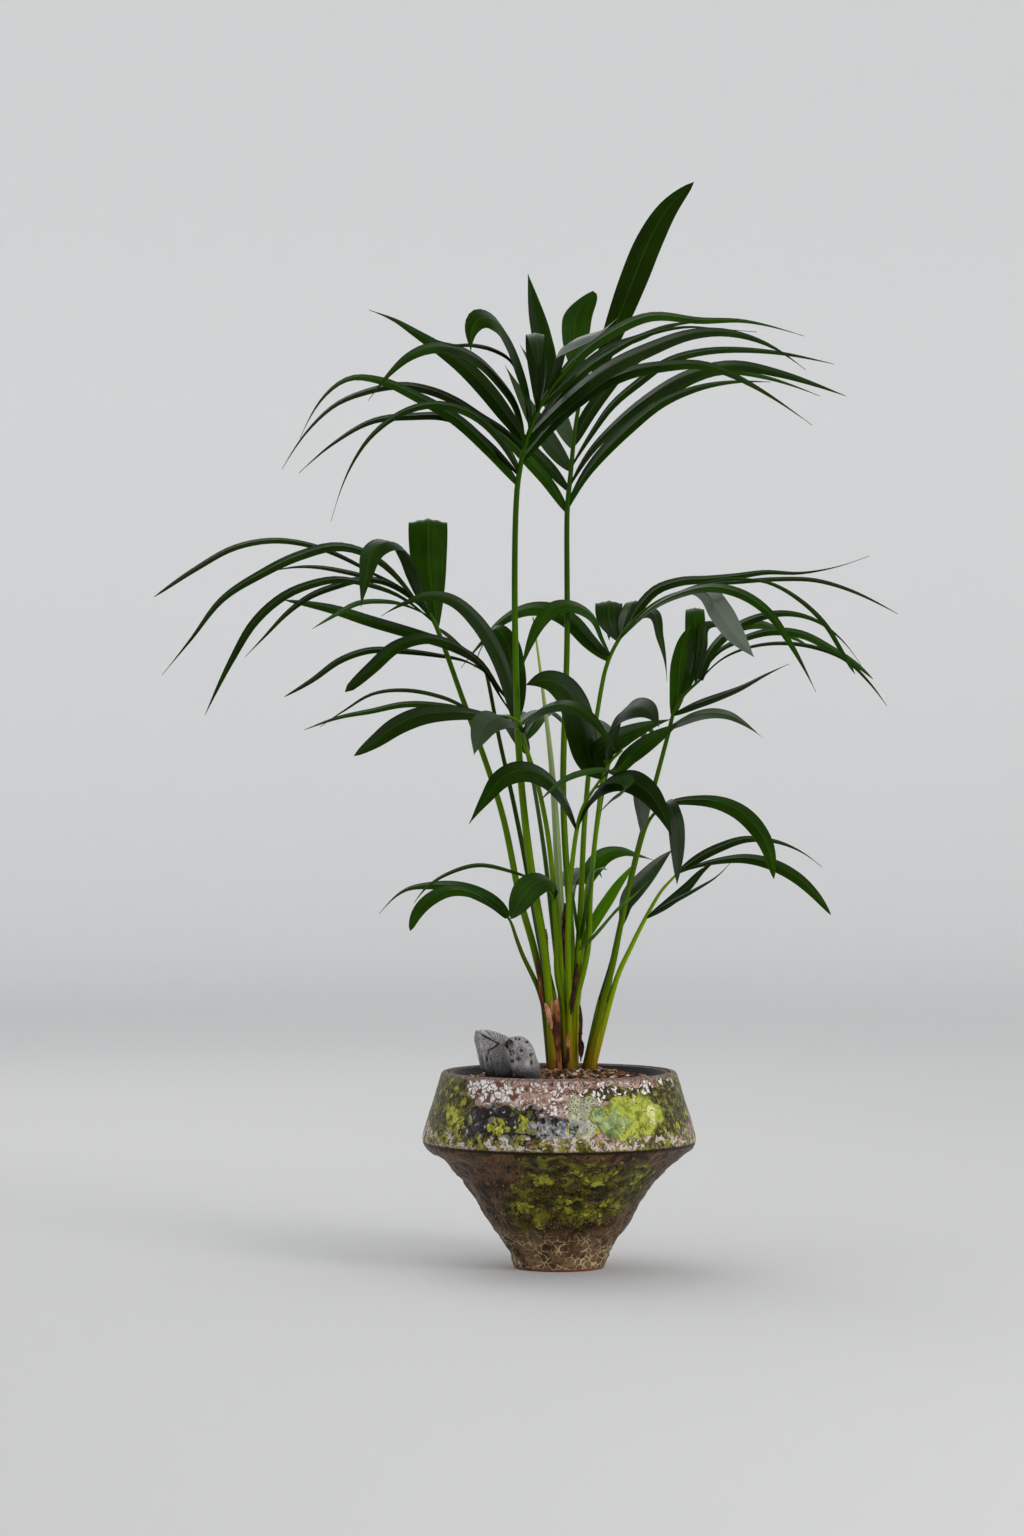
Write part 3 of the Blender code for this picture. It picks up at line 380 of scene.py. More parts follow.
skin = laid(skin, linear("#20240d"),
            product(cracks(7.0, 0.01, 0.05), cloud(20, 0.50, 0.56, 5.1), limed))
# The cone: dark earth with moss clouds, fine scratched lines, and pale veins near the foot.
earth = shades(18, ((0.30, "#140a04"), (0.42, "#24140b"), (0.52, "#3e2516"), (0.62, "#64452c"),
                    (0.74, "#3a2a10")))
scratches = add_node(tree, "TexWave", {
    "Vector": run, "Scale": 130.0, "Distortion": 9.0, "Detail": 2.0,
    "Detail Scale": 1.2}).outputs["Fac"]
scratched = product(ranged(scratches, 0.72, 0.92), band(30, 125, 6), cloud(26, 0.46, 0.52, 2.2))
below = laid(earth, linear("#7c6040"), scratched)
moss = shades(16, ((0.30, "#120f05"), (0.40, "#2a260a"), (0.50, "#4e4b10"), (0.60, "#747220"),
                   (0.70, "#9c9a3c"), (0.80, "#504c1c")))
moss = laid(moss, linear("#0b0d05"),
            product(cracks(8.0, 0.02, 0.12), cloud(12, 0.44, 0.52, 6.2)))
mossed = either(patch(20, 84, 62, 34, 0.6), patch(-34, 64, 22, 24, 0.6),
                patch(76, 100, 18, 16, 0.5), patch(-12, 116, 30, 6, 0.6),
                product(cloud(44, 0.46, 0.51, 0.6), at_back, band(30, 112, 8)))
below = laid(below, moss, product(mossed, cloud(11, 0.36, 0.44, 7.7)))
below = laid(below, shades(5, ((0.35, "#80841c"), (0.6, "#aaaa40"))),
             product(cloud(17, 0.57, 0.62, 3.1), cloud(4, 0.40, 0.48, 5.5), mossed, band(40, 112, 8)))
far, chance = drops(7.0)
below = laid(below, linear("#0a0a05"),
             product(ranged(far, 0.30, 0.18), ranged(chance, 0.70, 0.74)))
far, chance = drops(5.0)
below = laid(below, linear("#c2bd9c"),
             product(ranged(far, 0.13, 0.08), ranged(chance, 0.80, 0.82)))
near_foot = band(BELOW_ALL, 36, 10)
below = laid(below, linear("#7a5e46"), product(near_foot, cloud(22, 0.38, 0.52, 1.9)))
below = laid(below, linear("#35221a"), product(near_foot, ranged(drops(2.4)[0], 0.34, 0.20)))
below = laid(below, linear("#c4b488"),
             product(cracks(8.0, 0.015, 0.07), near_foot, cloud(14, 0.40, 0.5, 0.9)))
below = laid(below, linear("#8b4e3a"), band(BELOW_ALL, 2.5, 1.2))
# A thin dark band runs round just under the belt, where the cone meets the wall over it.
# The lip is dry clay.
skin = laid(below, skin, band(CONE_TOP_UP + 1, ABOVE_ALL, 0.7))
skin = laid(skin, linear("#120d07"), band(CONE_TOP_UP - 2, CONE_TOP_UP + 1, 1.0))
lip = band(WALL_TOP_UP + 1.5, ABOVE_ALL, 1.0)
skin = laid(skin, shades(3, ((0.35, "#54433a"), (0.5, "#75625a"), (0.62, "#8f7f76"))), lip)
tree.links.new(skin, shader.inputs["Base Color"])
dry = add_node(tree, "MapRange", {"Value": lip, "To Min": 0.3, "To Max": 0.75}).outputs[0]
uneven = product(cloud(7, 0.3, 0.7), 0.22)
tree.links.new(add_node(tree, "Math", {0: dry, 1: uneven}, operation="ADD").outputs[0],
               shader.inputs["Roughness"])
# Tiles, grains, pebbles, flecks and scratches stand out a little from the glaze.
raised = cloud(3, 0.2, 0.8)
for lift in (product(tiled, ranged(chance, 0.2, 0.3)), grains_white,
             product(pooled, ranged(drops(9.5)[0], 0.6, 0.0)), flecks,
             product(scratches, scratched), product(cloud(12, 0.35, 0.65), 1.2)):
    raised = add_node(tree, "Math", {0: raised, 1: lift}, operation="ADD").outputs[0]
bump = add_node(tree, "Bump", {"Height": raised, "Strength": 0.6, "Distance": 0.0012})
tree.links.new(bump.outputs[0], shader.inputs["Normal"])
pot.data.materials.append(glaze)
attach(pot, "root")
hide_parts("glazed_pot")


# Nursery pot: thin black polypropylene, moulded with a rolled rim, a loose fit inside the
# glazed pot. It stands on the cone of the pot with its rim level with the lip.
LINER_FOOT, LINER_RIM, LINER_WALL = (71.5, 68.0), (109.0, 195.5), 2.2
LINER_SIDES = 128


def liner_radius(up):
    """Outer radius of the nursery pot at this height."""
    share = (up - LINER_FOOT[1]) / (LINER_RIM[1] - LINER_FOOT[1])
    return LINER_FOOT[0] + (LINER_RIM[0] - LINER_FOOT[0]) * share


liner = thrown("nursery_pot_shell", (
    (67.0, 68.0), (70.6, 68.0), (71.6, 69.2), (liner_radius(110), 110), (liner_radius(150), 150),
    (liner_radius(190), 190), (109.3, 191.2), (109.7, 193.0), (109.2, 194.9), (108.2, 195.5),
    (107.1, 195.1), (106.6, 193.6), (liner_radius(190) - LINER_WALL, 189.5),
    (liner_radius(150) - LINER_WALL, 150), (liner_radius(110) - LINER_WALL, 110),
    (liner_radius(71) - LINER_WALL, 71), (20.0, 70.5)), LINER_SIDES)
# Black polypropylene, moulded: a soft sheen, fine lines left by the tool round the wall.
plastic, tree, shader = new_finish("black_polypropylene", 0.45, 0.3)
shader.inputs["Base Color"].default_value = linear("#141415")
place = add_node(tree, "TexCoord").outputs["Object"]
lines = add_node(tree, "Mapping", {"Vector": place, "Scale": (30.0, 30.0, 900.0)}).outputs[0]
lines = add_node(tree, "TexNoise", {"Vector": lines, "Scale": 1.0, "Detail": 2.0}).outputs[0]
bump = add_node(tree, "Bump", {"Height": lines, "Strength": 0.15, "Distance": 0.0003})
tree.links.new(bump.outputs[0], shader.inputs["Normal"])
liner.data.materials.append(plastic)
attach(liner, "root")
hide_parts("nursery_pot")


# Potting mix: peat with bark crumbs, pressed round the roots. It fills the nursery pot below
# the granules and is seen only where they part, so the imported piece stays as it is.
peat, tree, shader = new_finish("peat_mix", 0.95, 0.2)
place = add_node(tree, "TexCoord").outputs["Object"]
crumbs = add_node(tree, "TexNoise", {"Vector": place, "Scale": 350.0, "Detail": 6.0}).outputs[0]
tint = add_node(tree, "ValToRGB", {0: crumbs}, (
    (0.3, "#140d08"), (0.55, "#2f2116"), (0.75, "#4c3826")))
tree.links.new(tint.outputs[0], shader.inputs["Base Color"])
bump = add_node(tree, "Bump", {"Height": crumbs, "Strength": 0.8, "Distance": 0.0015})
tree.links.new(bump.outputs[0], shader.inputs["Normal"])
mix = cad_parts["potting_mix"]
mix.data.materials.clear()
mix.data.materials.append(peat)


# Clay granules: crushed fired clay, 3 to 8 mm, strewn over the mix and heaped to the stems.
# The bed below is one uneven skin, and the grains on it are copies of three chipped shapes.
GRANULE_EDGE_UP, GRANULE_CREST_UP, CREST_RADIUS = 186.0, 197.0, 44.0
BED_RADIUS, BED_DOWN = liner_radius(GRANULE_EDGE_UP) - LINER_WALL - 0.5, 2.0
BED_RINGS = (90, 75, 60, 50, 40, 30, 20, 10, 4)
GRAIN_PITCH, GRAIN_ROW, GRAIN_STRAY, GRAIN_KINDS = 3.9, 0.866, 1.3, 3
GRAIN_RADII = (1.5, 1.9, 2.4, 2.9, 3.5, 4.2)
PALE_CHANCE = 0.025
random.seed(11)


def granules_up(radius):
    """Height of the heap at this distance from the axis."""
    share = min(max((radius - CREST_RADIUS) / (BED_RADIUS - CREST_RADIUS), 0), 1)
    return GRANULE_CREST_UP + (GRANULE_EDGE_UP - GRANULE_CREST_UP) * share


bed_top = [(BED_RADIUS - 0.3, GRANULE_EDGE_UP - BED_DOWN)]
bed_top += [(r, granules_up(r) - BED_DOWN) for r in BED_RINGS]
bed = thrown("granule_bed", [(90.0, 173.0), (BED_RADIUS - 4, 173.0), *bed_top], 72)


def grain_shapes():
    """Three chipped grains, each a small ball of five rings that was knocked out of round."""
    shapes = []
    for seed in range(GRAIN_KINDS):
        bpy.ops.mesh.primitive_uv_sphere_add(segments=7, ring_count=5, radius=1.0)
        ball = bpy.context.object
        bpy.ops.object.mode_set(mode="EDIT")
        bpy.ops.transform.vertex_random(offset=0.28, seed=seed + 3)
        bpy.ops.transform.resize(value=(1.0, 0.8, 0.62))
        bpy.ops.object.mode_set(mode="OBJECT")
        shapes.append(([v.co.copy() for v in ball.data.vertices],
                       [tuple(f.vertices) for f in ball.data.polygons]))
        bpy.data.objects.remove(ball)
    return shapes


def joined(name, verts, faces, tones, finish):
    """One piece from points in millimetres, with a tone for each point that the finish reads."""
    mesh = bpy.data.meshes.new(name)
    mesh.from_pydata([v * MM for v in verts], [], faces)
    tone = mesh.attributes.new("tone", "FLOAT", "POINT")
    tone.data.foreach_set("value", tones)
    mesh.materials.append(finish)
    piece = bpy.data.objects.new(name, mesh)
    bpy.context.scene.collection.objects.link(piece)
    bpy.ops.object.select_all(action="DESELECT")
    piece.select_set(True)
    bpy.context.view_layer.objects.active = piece
    return piece


def gather(verts, faces, points, sides):
    """Adds the points and the faces of one more part to those of a piece."""
    start = len(verts)
    verts += points
    faces += [tuple(start + k for k in side) for side in sides]


GRAINS = grain_shapes()
verts, faces, tones = [], [], []
rows = int(2 * BED_RADIUS / (GRAIN_PITCH * GRAIN_ROW))
for row in range(rows + 1):
    for step in range(int(2 * BED_RADIUS / GRAIN_PITCH) + 1):
        x = -BED_RADIUS + (step + 0.5 * (row % 2)) * GRAIN_PITCH
        x += random.uniform(-GRAIN_STRAY, GRAIN_STRAY)
        y = -BED_RADIUS + row * GRAIN_PITCH * GRAIN_ROW
        y += random.uniform(-GRAIN_STRAY, GRAIN_STRAY)
        size = random.choice(GRAIN_RADII)
        lift = random.uniform(-2.2, 1.0)
        pale = random.random() < PALE_CHANCE
        shade = 1.0 if pale else min(max(random.gauss(0.34, 0.2), 0.0), 0.85)
        turn = (random.uniform(0, 6.28), random.uniform(-0.7, 0.7), random.uniform(0, 6.28))
        kind = random.randrange(GRAIN_KINDS)
        r = math.hypot(x, y)
        if r > BED_RADIUS - size:
            continue
        spin = Euler(turn).to_matrix()
        points, sides = GRAINS[kind]
        centre = Vector((x, y, granules_up(r) - 1.0 + lift))
        gather(verts, faces, [centre + spin @ (p * size) for p in points], sides)
        tones += [shade] * len(points)


def around(base, value, share):
    """A base value that a noise of 0 to 1 raises and lowers by half this share."""
    centred = add_node(tree, "Math", {0: value, 1: -0.5}, operation="ADD").outputs[0]
    return add_node(tree, "Math", {0: centred, 1: share, 2: base},
                    operation="MULTIPLY_ADD").outputs[0]


# Fired clay, broken: dull, brown to pale buff from grain to grain, dusted with fines.
fired, tree, shader = new_finish("fired_clay", 0.9, 0.25)
place = add_node(tree, "TexCoord").outputs["Object"]
tone = add_node(tree, "Attribute", attribute_name="tone").outputs["Fac"]
dust = add_node(tree, "TexNoise", {"Vector": place, "Scale": 500.0, "Detail": 4.0}).outputs[0]
tint = add_node(tree, "ValToRGB", {0: around(tone, dust, 0.5)}, (
    (0.05, "#1c0f08"), (0.25, "#3c2416"), (0.42, "#6a472f"), (0.6, "#906a4e"), (0.8, "#b49478"),
    (0.95, "#dccfc4")))
tree.links.new(tint.outputs[0], shader.inputs["Base Color"])
bump = add_node(tree, "Bump", {"Height": dust, "Strength": 0.6, "Distance": 0.0006})
tree.links.new(bump.outputs[0], shader.inputs["Normal"])
grains = joined("granule_grains", verts, faces, tones, fired)
bpy.ops.object.shade_smooth_by_angle(angle=math.radians(35))
bed.data.materials.append(fired)
for piece in (bed, grains):
    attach(piece, "root")
    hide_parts("clay_granules")


# Two weathered stones: a split block of grey limestone, cracked and fluted, and a worn one with
# pits where shells fell out. They only stand on the granules, one leaning on the other.
STONES = {
    "stone_upright": (
        ((-84, 236.6), (-73.5, 237.5), (-63, 235.3), (-51, 230.5), (-45, 222), (-43, 205),
         (-46, 187), (-60, 185), (-71, 188), (-77, 197), (-81, 210), (-85, 228)),
        ((-56, 0.78), (-52, 0.95), (-42, 1.0), (-33, 0.93), (-29, 0.7))),
    "stone_round": (
        ((-54.4, 219), (-54.4, 227), (-50.5, 229.6), (-43, 231.2), (-35.2, 230), (-29.5, 226.4),
         (-25.7, 218.7), (-22.5, 209.8), (-19.3, 201), (-16.7, 190.7), (-20, 185), (-32, 184.5),
         (-41.6, 188.5), (-46.7, 196.4), (-51.2, 204.7), (-53, 212.4)),
        ((-83, 0.6), (-79, 0.88), (-70, 1.0), (-62, 0.93), (-57.2, 0.62))),
}
# Pits: the middle across and up, the radius, and how tall it is for its width.
PITS = ((-50, 222.5, 4.2, 1.2), (-38, 216, 2.0, 1.0), (-41, 208, 2.9, 0.6), (-28, 212, 2.0, 1.0),
        (-32, 225, 2.0, 0.7), (-43.5, 228.5, 1.6, 1.0), (-40, 228, 1.6, 1.0), (-47.5, 214, 2.6, 1.3),
        (-47, 205.5, 2.1, 1.0), (-28, 204, 1.6, 2.0))
CRACK = ((-77, 231.5), (-69, 227), (-60.5, 223), (-65, 219.5), (-71, 216), (-72.5, 206))
FAN_ACROSS, FAN_UP = -60.5, 223
FLUTES_ACROSS, FLUTES_UP = -67, 213
# Soft round marks: the middle across and up, and the reach across and up.
HOLE = (-69, 192, 3.2, 6.0)
RING_ACROSS, RING_UP, RING_RADIUS, RING_WIDTH = -38, 216, 4.2, 0.7
SCRAPES = ((-31, 203, 3.5, 4.5), (-45, 201, 2.5, 4.0))
STONE_GRAIN = 0.6


def in_view(across, up, depth):
    """The point at this depth that is seen at across, up on the plane of the pot's axis."""
    scale = 1 + depth / EYE_BACK
    return Vector((EYE_ACROSS + (across - EYE_ACROSS) * scale, depth,
                   EYE_UP + (up - EYE_UP) * scale))


def rough_stone(name, rounding):
    """A stone from rings of its outline, its corners worn off, remeshed to fine even faces."""
    seen, rings = STONES[name]
    middle = [sum(point[k] for point in seen) / len(seen) for k in (0, 1)]
    verts = []
    for depth, size in rings:
        for across, up in seen:
            point = in_view(middle[0] + (across - middle[0]) * size,
                            middle[1] + (up - middle[1]) * size, depth)
            bed = granules_up(math.hypot(point.x, point.y)) - 1.5
            verts.append(Vector((point.x, point.y, max(point.z, bed))) * MM)
    count = len(seen)
    faces = [tuple(reversed(range(count))), tuple(range(len(verts) - count, len(verts)))]
    for k in range(0, len(verts) - count, count):
        for n in range(count):
            m = (n + 1) % count
            faces.append((k + n, k + m, k + count + m, k + count + n))
    mesh = bpy.data.meshes.new(name)
    mesh.from_pydata(verts, [], faces)
    stone = bpy.data.objects.new(name + "_weathered", mesh)
    bpy.context.scene.collection.objects.link(stone)
    bpy.context.view_layer.objects.active = stone
    worn = stone.modifiers.new("worn", "BEVEL")
    worn.width = rounding * MM
    worn.segments = 4
    worn.angle_limit = math.radians(12)
    bpy.ops.object.modifier_apply(modifier=worn.name)
    even = stone.modifiers.new("even", "REMESH")
    even.mode = "VOXEL"
    even.voxel_size = STONE_GRAIN * MM
    bpy.ops.object.modifier_apply(modifier=even.name)
    return stone


def off_line(x, z, line):
    """How far a point is seen to lie from a broken line."""
    nearest = 99.0
    for (x0, z0), (x1, z1) in zip(line, line[1:]):
        share = ((x - x0) * (x1 - x0) + (z - z0) * (z1 - z0)) / ((x1 - x0) ** 2 + (z1 - z0) ** 2)
        share = min(max(share, 0.0), 1.0)
        nearest = min(nearest, math.hypot(x - x0 - (x1 - x0) * share, z - z0 - (z1 - z0) * share))
    return nearest


def seen_at(spot):
    """Where a point is seen on the plane of the pot's axis: across and up."""
    scale = 1 + spot.y / EYE_BACK
    return EYE_ACROSS + (spot.x - EYE_ACROSS) / scale, EYE_UP + (spot.z - EYE_UP) / scale


def near_mark(across, up, middle, rise, wide, tall):
    """How near a point is seen to the middle of a soft round mark, from 0 to 1."""
    return math.exp(-(((across - middle) / wide) ** 2 + ((up - rise) / tall) ** 2))


def mark(stone, stains, scrapes):
    """Keeps on each point how brown it is stained and how far it is scraped pale."""
    for name, values in (("stain", stains), ("scrape", scrapes)):
        stone.data.attributes.new(name, "FLOAT", "POINT").data.foreach_set("value", values)


upright = rough_stone("stone_upright", 0.9)
stains, scrapes = [], []
for vert in upright.data.vertices:
    spot = vert.co / MM
    across, up = seen_at(spot)
    front = 1.0 if vert.normal.y < 0.3 else 0.0
    turn = math.atan2(up - FAN_UP, across - FAN_ACROSS)
    ridge = math.sin(turn * 21 + 1.5 * noise.noise(spot * 0.12))
    fan = min(math.hypot(across - FAN_ACROSS, up - FAN_UP) / 6, 1.0)
    fan *= 1.0 if up > FAN_UP - 1 - 0.5 * (across - FAN_ACROSS) else 0.12
    fluted = across < FLUTES_ACROSS and up < FLUTES_UP
    flute = math.sin(across * 1.4 + 0.3 * up) if fluted else 0.0
    crack = math.exp(-(off_line(across, up, CRACK) / 0.8) ** 2) * front
    hole = near_mark(across, up, *HOLE) * front
    lift = 0.5 * ridge * fan + 0.8 * flute + 0.4 * noise.noise(spot * 0.35)
    lift += 0.2 * noise.noise(spot * 0.9) - 1.6 * crack - 5.0 * hole
    vert.co += vert.normal * lift * MM
    stains.append(min(1.0, 0.9 * crack + hole + 0.6 * fan * max(0.0, -ridge) ** 3))
    scrapes.append(max(0.0, ridge) ** 4 * fan * 0.35 + max(0.0, flute) ** 4 * 0.6)
mark(upright, stains, scrapes)

boulder = rough_stone("stone_round", 4.0)
stains, scrapes = [], []
for vert in boulder.data.vertices:
    spot = vert.co / MM
    across, up = seen_at(spot)
    front = 1.0 if vert.normal.y < 0.2 else 0.0
    lift = 1.2 * noise.noise(spot * 0.07 + Vector((5, 0, 0))) + 0.15 * noise.noise(spot * 0.5)
    off_ring = math.hypot(across - RING_ACROSS, up - RING_UP) - RING_RADIUS
    ring = math.exp(-(off_ring / RING_WIDTH) ** 2) * front
    lift += 0.5 * ring
    stain = 0.45 * ring
    for middle, rise, size, tall in PITS:
        far = math.hypot(across - middle, (up - rise) / tall) / size
        if front and far < 2.0:
            lift -= 1.1 * size * math.exp(-2.6 * far * far)
            stain = max(stain, math.exp(-1.6 * far ** 4))
    vert.co += vert.normal * lift * MM
    stains.append(stain)
    pale = sum(near_mark(across, up, *scrape) for scrape in SCRAPES)
    scrapes.append(0.8 * pale * front)
mark(boulder, stains, scrapes)

# Limestone, tumbled and weathered: dull grey with fine dark specks and soft rusty clouds, pale
# where it is scraped, dark in its hollows, and painted darker toward its foot, as the shade
# where it sits in the granules.
for stone, node in ((upright, "stone_upright"), (boulder, "stone_round")):
    rock, tree, shader = new_finish("weathered_limestone_" + node[6:], 0.8, 0.35)
    place = add_node(tree, "TexCoord").outputs["Object"]
    height = add_node(tree, "SeparateXYZ", {0: place}).outputs["Z"]
    specks = add_node(tree, "TexNoise", {"Vector": place, "Scale": 900.0, "Detail": 4.0}).outputs[0]
    clouds = add_node(tree, "TexNoise", {"Vector": place, "Scale": 110.0, "Detail": 4.0}).outputs[0]
    grey = add_node(tree, "ValToRGB", {0: specks}, (
        (0.3, "#4e4d4d"), (0.5, "#868484"), (0.7, "#bab8b6"))).outputs[0]
    rusty = add_node(tree, "MapRange", {"Value": clouds, "From Min": 0.50, "From Max": 0.66,
                                        "To Max": 0.6}).outputs[0]
    # Painted shade: the stone turns dark grey toward its foot, where it sits in the granules.
    shade_near_granules = add_node(tree, "MapRange", {"Value": height, "From Min": 0.216, "From Max": 0.196,
                                       "To Max": 0.85}).outputs[0]
    scraped = add_node(tree, "Attribute", attribute_name="scrape").outputs["Fac"]
    stained = add_node(tree, "Attribute", attribute_name="stain").outputs["Fac"]
    for colour, mask in (("#6a5a48", rusty), ("#d2d2d4", scraped), ("#2b2c2d", shade_near_granules),
                         ("#1c110a", stained)):
        grey = laid(grey, linear(colour), mask)
    tree.links.new(grey, shader.inputs["Base Color"])
    bump = add_node(tree, "Bump", {"Height": specks, "Strength": 0.5, "Distance": 0.0006})
    tree.links.new(bump.outputs[0], shader.inputs["Normal"])
    stone.data.materials.clear()
    stone.data.materials.append(rock)
    stone.select_set(True)
    bpy.context.view_layer.objects.active = stone
    bpy.ops.object.shade_smooth_by_angle(angle=math.radians(45))
    stone.select_set(False)
    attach(stone, "root")
    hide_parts(node)


# Stalks: each frond rises on a smooth green petiole, which runs down through the sheaths into
# the granules and goes on as the rib that carries the leaflets. The unopened leaf stands among
# them.
STALK_STEPS, RIB_STEPS, LINE_STEPS = 9, 5, 64
SHEATHED_STEPS, FINE_STALK_STEPS, FINE_RIB_STEPS, STALK_SIDES = 8, 40, 18, 12
SHEATHED_SWELL, STALK_SWELL, RIB_TIP_SHARE = 1.45, 1.1, 0.75
